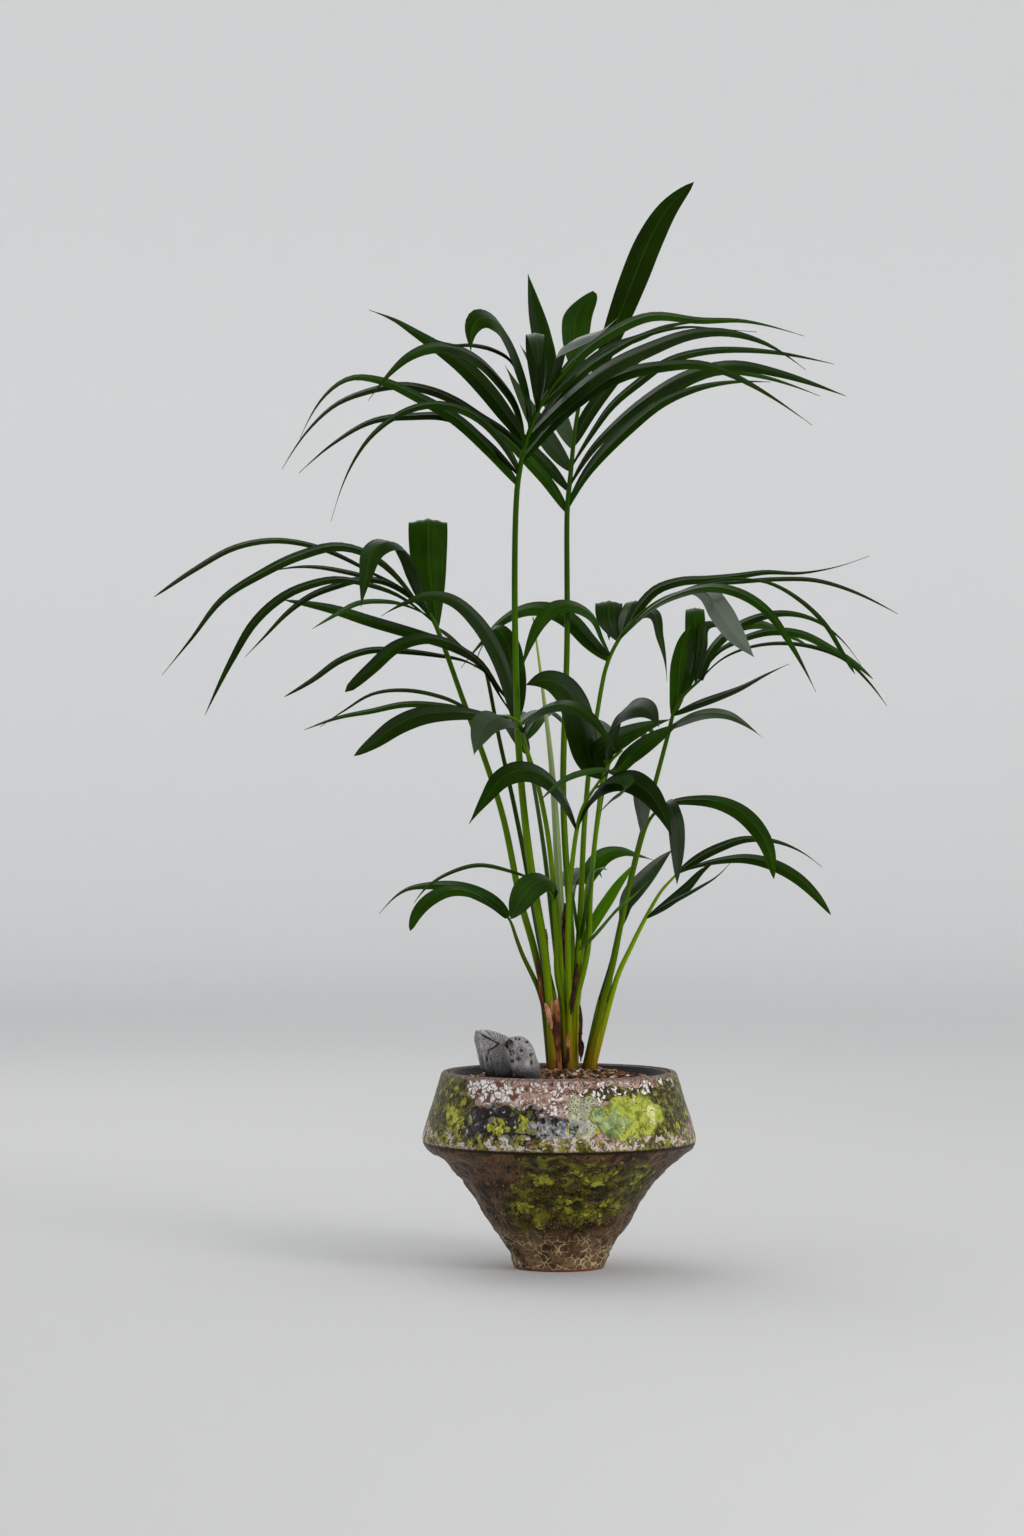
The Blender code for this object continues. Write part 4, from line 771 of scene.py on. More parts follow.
# A frond: its stem and the side of it in degrees from the right, the radius of the stalk at its
# foot and tip, points of the bare stalk and of the rib, each across, up and depth, and its
# leaflets. A leaflet: its place on the rib from 0 to 1, the points it passes through up to its
# tip, each across and up, the depth of the tip, its width, the roll of its face, 0 face up and
# 90 on edge, and where it is widest from 0 to 1.
Frond = namedtuple("Frond", "name stem side radii stalk rib leaflets")
FRONDS = (
    Frond("tall_left", "left", 262, (3.6, 2.3),
          [(-14, 317, -18), (-29, 407, -32), (-40, 512, -46), (-44, 640, -58), (-44, 727, -68)],
          [(-42, 777, -75), (-35, 817, -84), (-22, 855, -94), (-4, 884, -104), (16, 907, -112)],
          [
            (0.04, ((-69, 817), (-102, 848), (-144, 872), (-179, 887), (-209, 889), (-233, 873),
               (-259, 829)), -60, 16, 50, 0.30),
            (0.10, ((-73, 825), (-107, 849), (-149, 851), (-187, 846), (-224, 825),
               (-260, 794)), -50, 11, 50, 0.40),
            (0.13, ((-57, 826), (-85, 852), (-122, 863), (-154, 856), (-186, 833), (-209, 799),
               (-228, 746)), -130, 13, 50, 0.20),
            (0.27, ((-54, 836), (-79, 851), (-103, 866), (-129, 877), (-159, 882), (-192, 876),
               (-223, 863), (-251, 837), (-277, 798)), -40, 11, 50, 0.40),
            (0.30, ((-42, 862), (-59, 886), (-81, 907), (-104, 918), (-126, 920), (-148, 912),
               (-168, 895), (-191, 866)), -170, 25, 45, 0.30),
            (0.33, ((-51, 850), (-71, 876), (-94, 900), (-119, 919), (-144, 935), (-164, 947),
               (-190, 957)), -30, 20, 50, 0.35),
            (0.40, ((-47, 905), (-65, 917), (-87, 922), (-104, 922), (-122, 927)), -150, 8, 45, 0.50),
            (0.45, ((-31, 875), (-40, 906), (-51, 930), (-63, 945), (-77, 949), (-86, 941),
               (-88, 916)), -190, 46, 52, 0.40),
            (0.60, ((-12, 899), (-18, 927), (-25, 959), (-31, 993)), -60, 25, 60, 0.45),
            (0.55, ((-22, 892), (-24, 922), (-24, 934), (-20, 901)), -230, 18, 0, 0.60),
            (0.20, ((21, 869), (66, 894), (109, 902), (146, 902), (186, 886),
               (253, 842)), -120, 19, 50, 0.30),
            (0.30, ((16, 888), (49, 913), (86, 932), (126, 940), (161, 938),
               (198, 935)), -60, 13, 50, 0.20),
            (0.36, ((18, 876), (53, 901), (91, 919), (131, 933), (166, 935), (206, 924),
               (247, 897)), -150, 24, 50, 0.30),
            (0.60, ((19, 895), (51, 919), (81, 930), (109, 941), (136, 945),
               (163, 944)), -30, 12, 50, 0.30),
            (0.68, ((19, 910), (51, 934), (91, 951), (141, 947), (186, 946),
               (245, 931)), -80, 15, 50, 0.30),
            (0.72, ((-4, 899), (2, 917), (18, 926), (39, 934), (61, 951)), -200, 36, 40, 0.35),
          ]),
    Frond("tall_right", "centre", 90, (3.3, 2.3),
          [(13, 317, 20), (7, 407, 24), (4, 487, 28), (8, 617, 34), (8, 697, 38)],
          [(8, 752, 40), (12, 797, 44), (16, 837, 50), (23, 877, 56), (33, 909, 60)],
          [
            (0.02, ((-11, 785), (-29, 805), (-54, 830), (-89, 853), (-129, 864)), 110, 13, 50, 0.30),
            (0.15, ((-9, 799), (-29, 819), (-54, 849), (-81, 882)), 140, 13, 50, 0.35),
            (0.28, ((-4, 817), (-22, 844), (-39, 874), (-54, 902)), 170, 19, 50, 0.35),
            (0.42, ((3, 843), (-10, 869), (-24, 897), (-39, 922)), 190, 19, 50, 0.35),
            (0.04, ((24, 788), (41, 810), (69, 838), (102, 864), (138, 879), (171, 885),
               (212, 885)), 30, 14, 50, 0.40),
            (0.08, ((30, 800), (58, 832), (95, 864), (131, 887), (163, 896), (206, 890),
               (261, 871)), 60, 13, 50, 0.40),
            (0.18, ((31, 815), (53, 839), (86, 867), (126, 891), (171, 902), (216, 895),
               (287, 871)), -20, 18, 50, 0.45),
            (0.30, ((31, 831), (53, 862), (81, 886), (109, 906), (146, 916), (206, 916),
               (275, 903)), 80, 11, 50, 0.45),
            (0.44, ((27, 849), (44, 873), (69, 899), (106, 921)), 120, 14, 50, 0.30),
            (0.72, ((40, 899), (58, 945), (74, 987), (91, 1028), (110, 1060),
               (135, 1085)), 90, 29, 65, 0.60),
            (0.80, ((15, 909), (15, 935), (18, 954), (34, 976)), 40, 40, 10, 0.65),
          ]),
    Frond("long_left", "left", 118, (3.4, 1.8),
          [(-27, 327, 0), (-39, 367, 4), (-55, 447, 12), (-74, 507, 18), (-96, 567, 22)],
          [(-122, 639, 26), (-134, 657, 28), (-149, 672, 30), (-167, 684, 32), (-189, 695, 34)],
          [
            (0.00, ((-126, 667), (-130, 707), (-131, 748), (-132, 667)), 90, 40, 0, 0.50),
            (0.18, ((-144, 687), (-150, 706), (-159, 721), (-171, 725), (-186, 716), (-193, 693),
               (-198, 660)), -70, 30, 25, 0.40),
            (0.35, ((-199, 701), (-241, 720), (-284, 727), (-324, 720), (-361, 700),
               (-405, 670)), 20, 9, 45, 0.65),
            (0.38, ((-183, 709), (-219, 721), (-259, 712), (-297, 694), (-337, 668), (-368, 628),
               (-397, 592)), -50, 13, 48, 0.35),
            (0.70, ((-207, 694), (-241, 700), (-264, 700), (-291, 695)), 90, 6, 50, 0.40),
            (0.08, ((-159, 671), (-187, 682), (-219, 688), (-241, 685), (-274, 672), (-304, 646),
               (-327, 608), (-354, 552)), -90, 10, 50, 0.50),
            (0.25, ((-171, 684), (-197, 688), (-224, 681), (-249, 671), (-271, 655), (-295, 630),
               (-314, 610)), -10, 9, 50, 0.40),
            (0.15, ((-157, 663), (-179, 666), (-201, 664), (-224, 652), (-247, 638)), -120, 6, 50,
             0.50),
            (0.02, ((-107, 629), (-92, 615), (-77, 599)), 70, 9, 50, 0.35),
          ]),
    Frond("mid_left", "left", -26, (3.0, 1.9),
          [(-16, 317, -4), (-29, 397, -2), (-37, 467, -2)],
          [(-41, 541, -2), (-47, 567, -8), (-59, 597, -16)],
          [
            (0.00, ((-49, 583), (-62, 616), (-81, 646), (-105, 667), (-128, 672), (-152, 665),
               (-178, 651)), -60, 32, 50, 0.30),
            (0.10, ((-47, 599), (-53, 627), (-65, 638), (-77, 621), (-85, 599)), 60, 26, 45, 0.35),
            (0.05, ((-56, 567), (-76, 599), (-104, 622), (-134, 629), (-163, 621), (-187, 600),
               (-214, 575)), -70, 15, 50, 0.75),
            (0.30, ((-59, 577), (-81, 606), (-109, 622), (-139, 632), (-187, 646), (-229, 659),
               (-275, 667)), 30, 15, 50, 0.60),
          ]),
    Frond("slender_left", "left", 46, (2.6, 1.6),
          [(-18, 317, 12), (-34, 407, 20), (-46, 467, 24), (-60, 529, 28)],
          [(-69, 577, 30), (-75, 598, 32), (-84, 601, 34)],
          [
            (0.60, ((-94, 606), (-122, 612), (-154, 616), (-189, 617), (-219, 607), (-247, 587),
               (-275, 570)), 10, 9, 50, 0.60),
            (0.20, ((-114, 622), (-144, 622), (-162, 614), (-181, 596)), 120, 9, 50, 0.60),
          ]),
    Frond("front_left", "centre", 180, (2.8, 1.8),
          [(1, 317, -6), (-6, 387, -18), (-11, 432, -32), (-21, 482, -46)],
          [(-33, 519, -60), (-39, 543, -70), (-51, 551, -78)],
          [
            (0.50, ((-73, 551), (-109, 555), (-138, 552), (-162, 542), (-184, 526),
               (-205, 511)), -140, 22, 50, 0.60),
            (0.90, ((-81, 554), (-114, 569), (-154, 577), (-187, 573), (-214, 557),
               (-239, 540)), -90, 5, 50, 0.45),
            (0.90, ((-79, 554), (-114, 561), (-154, 563), (-189, 556), (-219, 550),
               (-255, 537)), -40, 8, 50, 0.50),
            (0.40, ((-57, 549), (-72, 545), (-80, 531), (-85, 512)), -190, 30, 35, 0.40),
            (0.05, ((-37, 532), (-26, 551), (-7, 561), (13, 561), (33, 548), (48, 529),
               (60, 510)), -150, 17, 45, 0.35),
          ]),
    Frond("mid_right", "centre", 45, (3.0, 1.7),
          [(19, 317, 20), (22, 367, 24), (25, 437, 30), (31, 507, 36), (38, 552, 40)],
          [(45, 592, 46), (55, 619, 48), (73, 645, 48), (101, 667, 44), (133, 679, 40)],
          [
            (0.12, ((31, 626), (11, 647), (-11, 658), (-33, 658), (-56, 647), (-78, 624),
               (-98, 599)), 60, 22, 50, 0.30),
            (0.15, ((44, 627), (34, 650), (16, 661), (-3, 660), (-18, 646), (-29, 624),
               (-38, 596)), 10, 18, 50, 0.40),
            (0.28, ((51, 645), (50, 666), (50, 627)), 130, 28, 0, 0.45),
            (0.32, ((70, 656), (77, 666), (82, 647)), 110, 20, 0, 0.50),
            (0.40, ((95, 676), (121, 686), (147, 688), (176, 691), (206, 695), (241, 694),
               (277, 700), (310, 711)), 60, 13, 50, 0.20),
            (0.70, ((141, 682), (176, 685), (216, 688), (256, 687), (291, 677),
               (339, 653)), 10, 6, 50, 0.50),
            (0.80, ((159, 687), (186, 688), (211, 684), (241, 667), (266, 643), (282, 617),
               (296, 593)), -60, 5, 50, 0.75),
            (0.30, ((96, 661), (126, 675), (153, 680), (181, 674), (207, 657), (231, 624),
               (257, 575)), -110, 12, 50, 0.40),
            (0.95, ((146, 675), (160, 657), (176, 633), (195, 610)), -160, 24, 45, 0.45),
            (0.50, ((93, 654), (101, 629), (106, 607), (108, 586)), -30, 12, 50, 0.20),
          ]),
    Frond("low_right", "right", 70, (2.8, 1.8),
          [(54, 307, 16), (68, 372, 26), (76, 407, 31), (85, 442, 35), (97, 487, 40)],
          [(109, 532, 42), (115, 555, 40), (125, 572, 36), (141, 587, 30)],
          [
            (0.25, ((119, 577), (121, 605), (125, 629), (132, 642)), 60, 19, 60, 0.45),
            (0.65, ((134, 602), (136, 627), (136, 659), (138, 617)), 130, 21, 0, 0.50),
            (1.00, ((152, 616), (171, 636), (196, 649), (226, 654), (256, 647), (281, 629),
               (302, 602)), 0, 14, 50, 0.20),
            (0.98, ((159, 615), (183, 628), (213, 636), (243, 633), (273, 618), (296, 604),
               (314, 588)), 40, 11, 50, 0.60),
            (1.00, ((163, 608), (191, 620), (224, 624), (259, 619), (287, 607), (309, 586),
               (328, 561)), -60, 5, 50, 0.50),
            (0.30, ((136, 562), (161, 571), (181, 579), (206, 592), (230, 603)), -30, 12, 50, 0.30),
            (0.10, ((129, 549), (151, 554), (169, 552), (183, 545), (204, 529)), -100, 16, 50, 0.25),
            (0.90, ((144, 622), (147, 641), (157, 643), (171, 630)), 100, 11, 50, 0.50),
            (1.00, ((155, 619), (177, 639), (203, 643), (226, 634), (247, 623)), 90, 12, 50, 0.60),
          ]),
    Frond("front_right", "centre", 315, (2.8, 1.8),
          [(29, 317, -10), (31, 367, -18), (34, 407, -26), (39, 452, -36)],
          [(44, 489, -46), (51, 505, -56), (63, 517, -66)],
          [
            (0.00, ((32, 505), (27, 534), (19, 561), (6, 579), (-12, 587),
               (-33, 582)), -130, 55, 58, 0.45),
            (0.50, ((50, 527), (58, 550), (72, 559), (89, 557), (100, 540)), -150, 40, 48, 0.40),
            (0.20, ((35, 507), (50, 524), (78, 538), (113, 548)), -60, 28, 50, 0.35),
            (0.30, ((53, 495), (71, 511), (93, 528), (119, 543)), -20, 19, 50, 0.50),
          ]),
    Frond("front_centre", "centre", 270, (2.9, 1.8),
          [(9, 317, -24), (10, 367, -34), (13, 402, -42)],
          [(18, 438, -54), (25, 462, -72), (41, 487, -92)],
          [
            (0.00, ((11, 456), (-3, 479), (-18, 492), (-36, 497), (-57, 489), (-73, 469),
               (-90, 443)), -120, 28, 50, 0.40),
            (0.00, ((25, 455), (34, 471), (47, 483), (66, 488), (86, 478), (102, 457),
               (113, 430)), -160, 27, 50, 0.45),
            (1.00, ((49, 496), (26, 495), (5, 487), (-21, 464)), -190, 7, 50, 0.40),
            (0.80, ((65, 489), (69, 482), (55, 470), (40, 454)), -200, 15, 50, 0.55),
          ]),
    Frond("right_near", "right", 250, (2.8, 1.7),
          [(54, 302, -14), (62, 342, -20), (71, 382, -26)],
          [(84, 432, -38), (94, 452, -44), (107, 461, -50)],
          [
            (0.50, ((109, 463), (133, 467), (163, 464), (187, 451), (207, 424),
               (215, 388)), -110, 18, 50, 0.60),
            (0.40, ((108, 464), (115, 449), (118, 422), (118, 383)), -170, 18, 40, 0.50),
            (0.00, ((83, 455), (78, 470), (74, 481)), 30, 16, 50, 0.50),
          ]),
    Frond("right_broad", "right", 160, (2.6, 1.8),
          [(52, 302, 4)],
          [(58, 327, 4), (63, 345, 4), (67, 362, 6)],
          [
            (0.30, ((65, 366), (78, 383), (92, 398), (113, 417)), -30, 40, 50, 0.45),
            (1.00, ((81, 378), (89, 385)), 60, 5, 50, 0.40),
          ]),
    Frond("right_far", "right", 340, (2.7, 1.6),
          [(59, 292, -4), (72, 320, -2)],
          [(86, 348, 0), (101, 374, 2), (114, 389, 4), (121, 396, 6)],
          [
            (1.00, ((141, 410), (161, 420), (186, 428), (216, 426), (241, 416),
               (263, 400)), 40, 11, 50, 0.25),
            (0.95, ((141, 402), (163, 407), (186, 409), (211, 404), (236, 391), (255, 374),
               (272, 352)), -50, 14, 50, 0.60),
            (0.02, ((113, 365), (139, 379), (157, 390), (173, 406)), -60, 7, 50, 0.30),
            (0.00, ((109, 364), (128, 380), (143, 396), (157, 406)), 60, 10, 50, 0.45),
          ]),
    Frond("young", "centre", 0, (2.8, 1.9),
          [(21, 292, 0)],
          [(20, 317, -6), (23, 342, -12)],
          [
            (0.00, ((39, 352), (48, 366), (60, 384), (78, 406)), -50, 13, 55, 0.45),
            (0.00, ((43, 341), (58, 358), (73, 370), (89, 385)), -80, 12, 55, 0.35),
            (0.40, ((28, 372), (31, 387), (35, 417)), -40, 22, 80, 0.40),
            (0.20, ((16, 362), (11, 387), (10, 409)), -50, 14, 80, 0.40),
          ]),
    Frond("centre_small", "back", 330, (2.6, 1.7),
          [(23, 317, 38)],
          [(25, 357, 42), (28, 382, 46), (33, 399, 48)],
          [
            (0.60, ((33, 399), (45, 412), (63, 416), (79, 412), (94, 407)), 70, 21, 45, 0.30),
            (0.80, ((42, 399), (48, 397)), -10, 8, 30, 0.40),
          ]),
    Frond("low_left", "left", 190, (2.6, 1.6),
          [(-22, 282, -8), (-35.5, 310, -12)],
          [(-42, 327, -14), (-47, 342, -15), (-51, 350, -16)],
          [
            (1.00, ((-61, 362), (-81, 374), (-104, 381), (-129, 382), (-154, 377),
               (-180, 353)), 20, 16, 50, 0.25),
            (0.90, ((-64, 359), (-87, 374), (-109, 377), (-129, 368), (-142, 354),
               (-149, 336)), -60, 15, 50, 0.65),
          ]),
    Frond("low_front", "centre", 225, (2.7, 1.8),
          [(-2, 292, -16), (-3, 327, -26)],
          [(-5, 357, -34), (-6, 372, -40), (-13, 382, -50)],
          [
            (0.30, ((-3, 380), (-13, 387), (-28, 381), (-39, 366), (-48, 348)), -110, 27, 45, 0.55),
            (1.00, ((-46, 395), (-81, 402), (-112, 393), (-132, 380), (-145, 364)), -60, 5, 50, 0.50),
          ]),
    Frond("back_left", "back", 150, (2.5, 1.6),
          [(-5, 330, 52), (-14, 410, 95), (-24, 475, 150)],
          [(-32, 515, 200), (-38, 535, 240), (-42, 543, 280), (-46, 540, 320)],
          [
            (0.00, ((-59, 551), (-75, 537)), 270, 20, 10, 0.35),
            (0.20, ((-11, 555), (7, 539)), 270, 20, 10, 0.35),
            (0.50, ((-62, 552), (-77, 535)), 350, 22, 10, 0.35),
            (0.60, ((-11, 557), (9, 537)), 350, 20, 10, 0.35),
            (1.00, ((-54, 551), (-67, 534)), 430, 18, 10, 0.35),
            (0.95, ((-35, 555), (-29, 539)), 430, 18, 10, 0.35),
          ]),
    Frond("back_right", "back", 30, (2.5, 1.6),
          [(26, 330, 52), (34, 410, 100), (42, 465, 150)],
          [(49, 500, 195), (55, 520, 235), (61, 528, 275), (67, 525, 315)],
          [
            (0.00, ((21, 542), (11, 525)), 270, 20, 10, 0.35),
            (0.20, ((86, 539), (101, 531)), 260, 20, 10, 0.35),
            (0.50, ((26, 547), (17, 522)), 350, 22, 10, 0.35),
            (0.60, ((86, 541), (97, 527)), 340, 20, 10, 0.35),
            (1.00, ((79, 539), (86, 523)), 420, 18, 10, 0.35),
            (0.95, ((54, 529), (49, 507)), 420, 18, 10, 0.35),
          ]),
    Frond("back_low", "back", 90, (2.5, 1.6),
          [(9, 305, 60), (11, 335, 90), (13, 362, 125)],
          [(15, 378, 155), (16, 386, 185), (17, 386, 215)],
          [
            (0.00, ((-2, 391), (-9, 375)), 210, 18, 10, 0.35),
            (0.20, ((34, 401), (43, 389)), 220, 18, 10, 0.35),
            (0.70, ((4, 395), (-3, 377)), 290, 18, 10, 0.35),
            (1.00, ((26, 399), (33, 383)), 300, 18, 10, 0.35),
          ]),
)
Stem = namedtuple("Stem", "foot top foot_radius top_radius seat_radius")
STEM_FOOT_UP, STEM_TOP_UP, SEAT_UP = 197.3, 262.0, 262.3
STEMS = {
    "left": Stem((-4, -3), (-9, -5), 7.0, 9.8, 6.4),
    "centre": Stem((11, 4), (10, 6), 8.0, 11.6, 8.4),
    "right": Stem((28, 0), (45, 0), 6.0, 8.4, 5.2),
    "back": Stem((9, 28), (8, 34), 6.5, 8.6, 5.4),
}
SPEAR_STALK = ((5, 317, 14), (0, 387, 19), (-4, 457, 22), (-9, 517, 24), (-15, 567, 25),
               (-20, 607, 26), (-26, 650, 26))
SPEAR_SIDE, SPEAR_RADII, SPEAR_SIDES, BELLY_STEP = 135, (2.8, 4.0, 0.7), 16, 25
PLEAT_RING, PLEAT_DEPTH = 20, 0.8


def smooth_path(points, steps):
    """Points evenly spaced along a smooth curve through the given ones."""
    ends = [points[0] * 2 - points[1], *points, points[-1] * 2 - points[-2]]
    fine = []
    for a, b, c, d in zip(ends, ends[1:], ends[2:], ends[3:]):
        for k in range(8):
            t = k / 8
            fine.append(0.5 * (2 * b + (c - a) * t + (2 * a - 5 * b + 4 * c - d) * t * t
                               + (3 * b - a - 3 * c + d) * t ** 3))
    fine.append(points[-1])
    reach = [0.0]
    for a, b in zip(fine, fine[1:]):
        reach.append(reach[-1] + (b - a).length)
    path = []
    k = 0
    for step in range(steps + 1):
        goal = reach[-1] * step / steps
        while k < len(fine) - 2 and reach[k + 1] < goal:
            k += 1
        path.append(fine[k].lerp(fine[k + 1], (goal - reach[k]) / (reach[k + 1] - reach[k])))
    return path


def tube(path, radii, sides):
    """A closed round rod along a path, its foot cut level, as points and faces."""
    verts = []
    across = Vector((1, 0, 0))
    for k, point in enumerate(path):
        along = (path[min(k + 1, len(path) - 1)] - path[max(k - 1, 0)]).normalized()
        if k == 0:
            along = Vector((0, 0, 1))
        across = (across - along * across.dot(along)).normalized()
        over = along.cross(across)
        for n in range(sides):
            turn = 2 * math.pi * n / sides
            verts.append(point + radii[k] * (math.cos(turn) * across + math.sin(turn) * over))
    faces = [tuple(reversed(range(sides)))]
    for k in range(0, (len(path) - 1) * sides, sides):
        for n in range(sides):
            m = (n + 1) % sides
            faces.append((k + n, k + m, k + sides + m, k + sides + n))
    faces.append(tuple(range(len(verts) - sides, len(verts))))
    return verts, faces


def stem_seat(stem, side):
    """Where a stalk leaves its sheaths: on a ring on top of its stem."""
    top = STEMS[stem]
    turn = math.radians(side)
    return Vector((top.top[0] + top.seat_radius * math.cos(turn),
                   top.top[1] + top.seat_radius * math.sin(turn), SEAT_UP))


def stem_root(stem, side):
    """Where a stalk goes into the granules, inside its sheaths."""
    foot = STEMS[stem]
    turn = math.radians(side)
    ring = foot.foot_radius * 0.55
    return Vector((foot.foot[0] + ring * math.cos(turn), foot.foot[1] + ring * math.sin(turn),
                   STEM_FOOT_UP - 6))


def centre_line(frond):
    """The frond's whole line in fine steps, and the step where its rib begins."""
    bare = [stem_seat(frond.stem, frond.side), *(in_view(*p) for p in frond.stalk)]
    rib = [in_view(*p) for p in frond.rib]
    whole = smooth_path(bare + rib, LINE_STEPS)
    return whole, min(range(len(whole)), key=lambda k: (whole[k] - rib[0]).length)


def blend(start, end, count):
    """Evenly spaced values from one to the other, both ends among them."""
    return [start + (end - start) * k / (count - 1) for k in range(count)]


def eased(path, rounds):
    """Rounds the kinks of a path, with its ends kept."""
    for _ in range(rounds):
        path = [path[0], *((a + 2 * b + c) / 4 for a, b, c in zip(path, path[1:], path[2:])),
                path[-1]]
    return path


def petiole(stem, side, line, fork, radii):
    """The fine rod of a stalk: thick and flat where it is sheathed, slim at the rib's end."""
    root = stem_root(stem, side)
    sheathed = [root.lerp(line[0], k / SHEATHED_STEPS) for k in range(SHEATHED_STEPS)]
    bare = smooth_path(line[:fork + 1], FINE_STALK_STEPS)
    rib = smooth_path(line[fork:], FINE_RIB_STEPS)
    at_fork = radii[0] + (radii[1] - radii[0]) * (STALK_STEPS / (STALK_STEPS + RIB_STEPS))
    seat = radii[0] * STALK_SWELL
    sizes = blend(radii[0] * SHEATHED_SWELL, seat, SHEATHED_STEPS + 1)[:SHEATHED_STEPS]
    sizes += blend(seat, at_fork, FINE_STALK_STEPS + 1)
    sizes += blend(at_fork, radii[1] * RIB_TIP_SHARE, FINE_RIB_STEPS + 1)[1:]
    path = eased(sheathed + bare, 3) + rib[1:]
    return tube(path, sizes, STALK_SIDES)


# Kentia petiole: a living stem, smooth and waxed. Brown and dry where it is sheathed, yellow
# green above it, and deep green to the rib. Each stalk mixes a lit and a painted shaded copy
# of these colours: the stalks in front are painted lit, those behind and at the sides painted
# in shade, and the young one is lightest.
waxed, tree, shader = new_finish("green_petiole", 0.42, 0.3, "#8aa850")
place = add_node(tree, "TexCoord").outputs["Object"]
height = add_node(tree, "SeparateXYZ", {0: place}).outputs["Z"]
tone = add_node(tree, "Attribute", attribute_name="tone").outputs["Fac"]
long = add_node(tree, "Mapping", {"Vector": place, "Scale": (700.0, 700.0, 22.0)}).outputs[0]
fibre = add_node(tree, "TexNoise", {"Vector": long, "Scale": 1.0, "Detail": 3.0}).outputs[0]
rise = ranged(around(height, fibre, 0.03), 0.19, 0.79)
# A lit copy and a painted shaded copy of the stalk's colours, mixed by each stalk's tone.
lit_green = add_node(tree, "ValToRGB", {0: rise}, (
    (0.0, "#5a3810"), (0.03, "#8c7210"), (0.09, "#848a08"), (0.16, "#729004"), (0.36, "#688e06"),
    (0.62, "#527c04"), (0.85, "#2c5004"))).outputs[0]
shaded_green = add_node(tree, "ValToRGB", {0: rise}, (
    (0.0, "#241406"), (0.03, "#382c06"), (0.08, "#263804"), (0.20, "#1f3803"), (0.36, "#1b3603"),
    (0.62, "#162c03"), (0.85, "#102203"))).outputs[0]
tree.links.new(laid(shaded_green, lit_green, tone), shader.inputs["Base Color"])
bump = add_node(tree, "Bump", {"Height": fibre, "Strength": 0.25, "Distance": 0.0004})
tree.links.new(bump.outputs[0], shader.inputs["Normal"])

# How light the green of each stalk is, from 0, in painted shade, to 1, painted lit yellow green:
# the stalks in front are lit, those behind and at the sides shaded, and the young ones are
# lighter of their own.
STALK_TONES = {"tall_left": 0.65, "tall_right": 0.5, "long_left": 0.55, "mid_left": 0.2,
               "slender_left": 0.05, "front_left": 0.8, "mid_right": 0.5, "low_right": 0.25,
               "front_right": 0.65, "front_centre": 0.75, "right_near": 0.35, "right_broad": 0.02,
               "right_far": 0.95, "young": 1.0, "centre_small": 0.75, "low_left": 0.15,
               "low_front": 0.45, "back_left": 0.05, "back_right": 0.05, "back_low": 0.05}
LINES = {frond.name: centre_line(frond) for frond in FRONDS}
verts, faces, tones = [], [], []
for frond in FRONDS:
    line, fork = LINES[frond.name]
    points, sides = petiole(frond.stem, frond.side, line, fork, frond.radii)
    gather(verts, faces, points, sides)
    tones += [STALK_TONES[frond.name]] * len(points)
stalks = joined("frond_stalks", verts, faces, tones, waxed)
bpy.ops.object.shade_smooth_by_angle(angle=math.radians(60))
FROND_NODES = {stem: ["frond_" + f.name for f in FRONDS if f.stem == stem] for stem in STEMS}
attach(stalks, "root")
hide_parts(*("frond_" + frond.name for frond in FRONDS))

# The spear: the next leaf, still folded along its pleats on its own petiole. A mealy bloom
# makes it paler and greyer than the rest, greener to the top.
SPEAR_PATH = [stem_seat("centre", SPEAR_SIDE), *(in_view(*p) for p in SPEAR_STALK)]
spear_line = smooth_path(SPEAR_PATH, LINE_STEPS)
root = stem_root("centre", SPEAR_SIDE)
foot, belly, tip = SPEAR_RADII
sizes = [foot * 1.2] * SHEATHED_STEPS + blend(foot, belly, BELLY_STEP + 1)
sizes += blend(belly, tip, LINE_STEPS - BELLY_STEP + 1)[1:]
sheathed = [root.lerp(spear_line[0], k / SHEATHED_STEPS) for k in range(SHEATHED_STEPS)]
middles = eased(sheathed + spear_line, 3)
points, sides = tube(middles, sizes, SPEAR_SIDES)
for k, point in enumerate(points):
    ring, side = divmod(k, SPEAR_SIDES)
    if side % 2 and ring >= PLEAT_RING:
        points[k] = middles[ring] + (point - middles[ring]) * PLEAT_DEPTH
mealy, tree, shader = new_finish("mealy_spear_leaf", 0.62, 0.2, "#c4d8b0")
place = add_node(tree, "TexCoord").outputs["Object"]
height = add_node(tree, "SeparateXYZ", {0: place}).outputs["Z"]
long = add_node(tree, "Mapping", {"Vector": place, "Scale": (600.0, 600.0, 25.0)}).outputs[0]
fibre = add_node(tree, "TexNoise", {"Vector": long, "Scale": 1.0, "Detail": 3.0}).outputs[0]
rise = ranged(around(height, fibre, 0.25), 0.25, 0.65)
green = add_node(tree, "ValToRGB", {0: rise}, (
    (0.0, "#5d7a20"), (0.2, "#7d9150"), (0.55, "#8fa172"), (0.8, "#8aa055"), (1.0, "#93a63e")))
tree.links.new(green.outputs[0], shader.inputs["Base Color"])
bump = add_node(tree, "Bump", {"Height": fibre, "Strength": 0.3, "Distance": 0.0005})
tree.links.new(bump.outputs[0], shader.inputs["Normal"])
spear = joined("spear_unopened", points, sides, [0.9] * len(points), mealy)
bpy.ops.object.shade_smooth_by_angle(angle=math.radians(40))
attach(spear, "root")
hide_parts("spear_leaf")


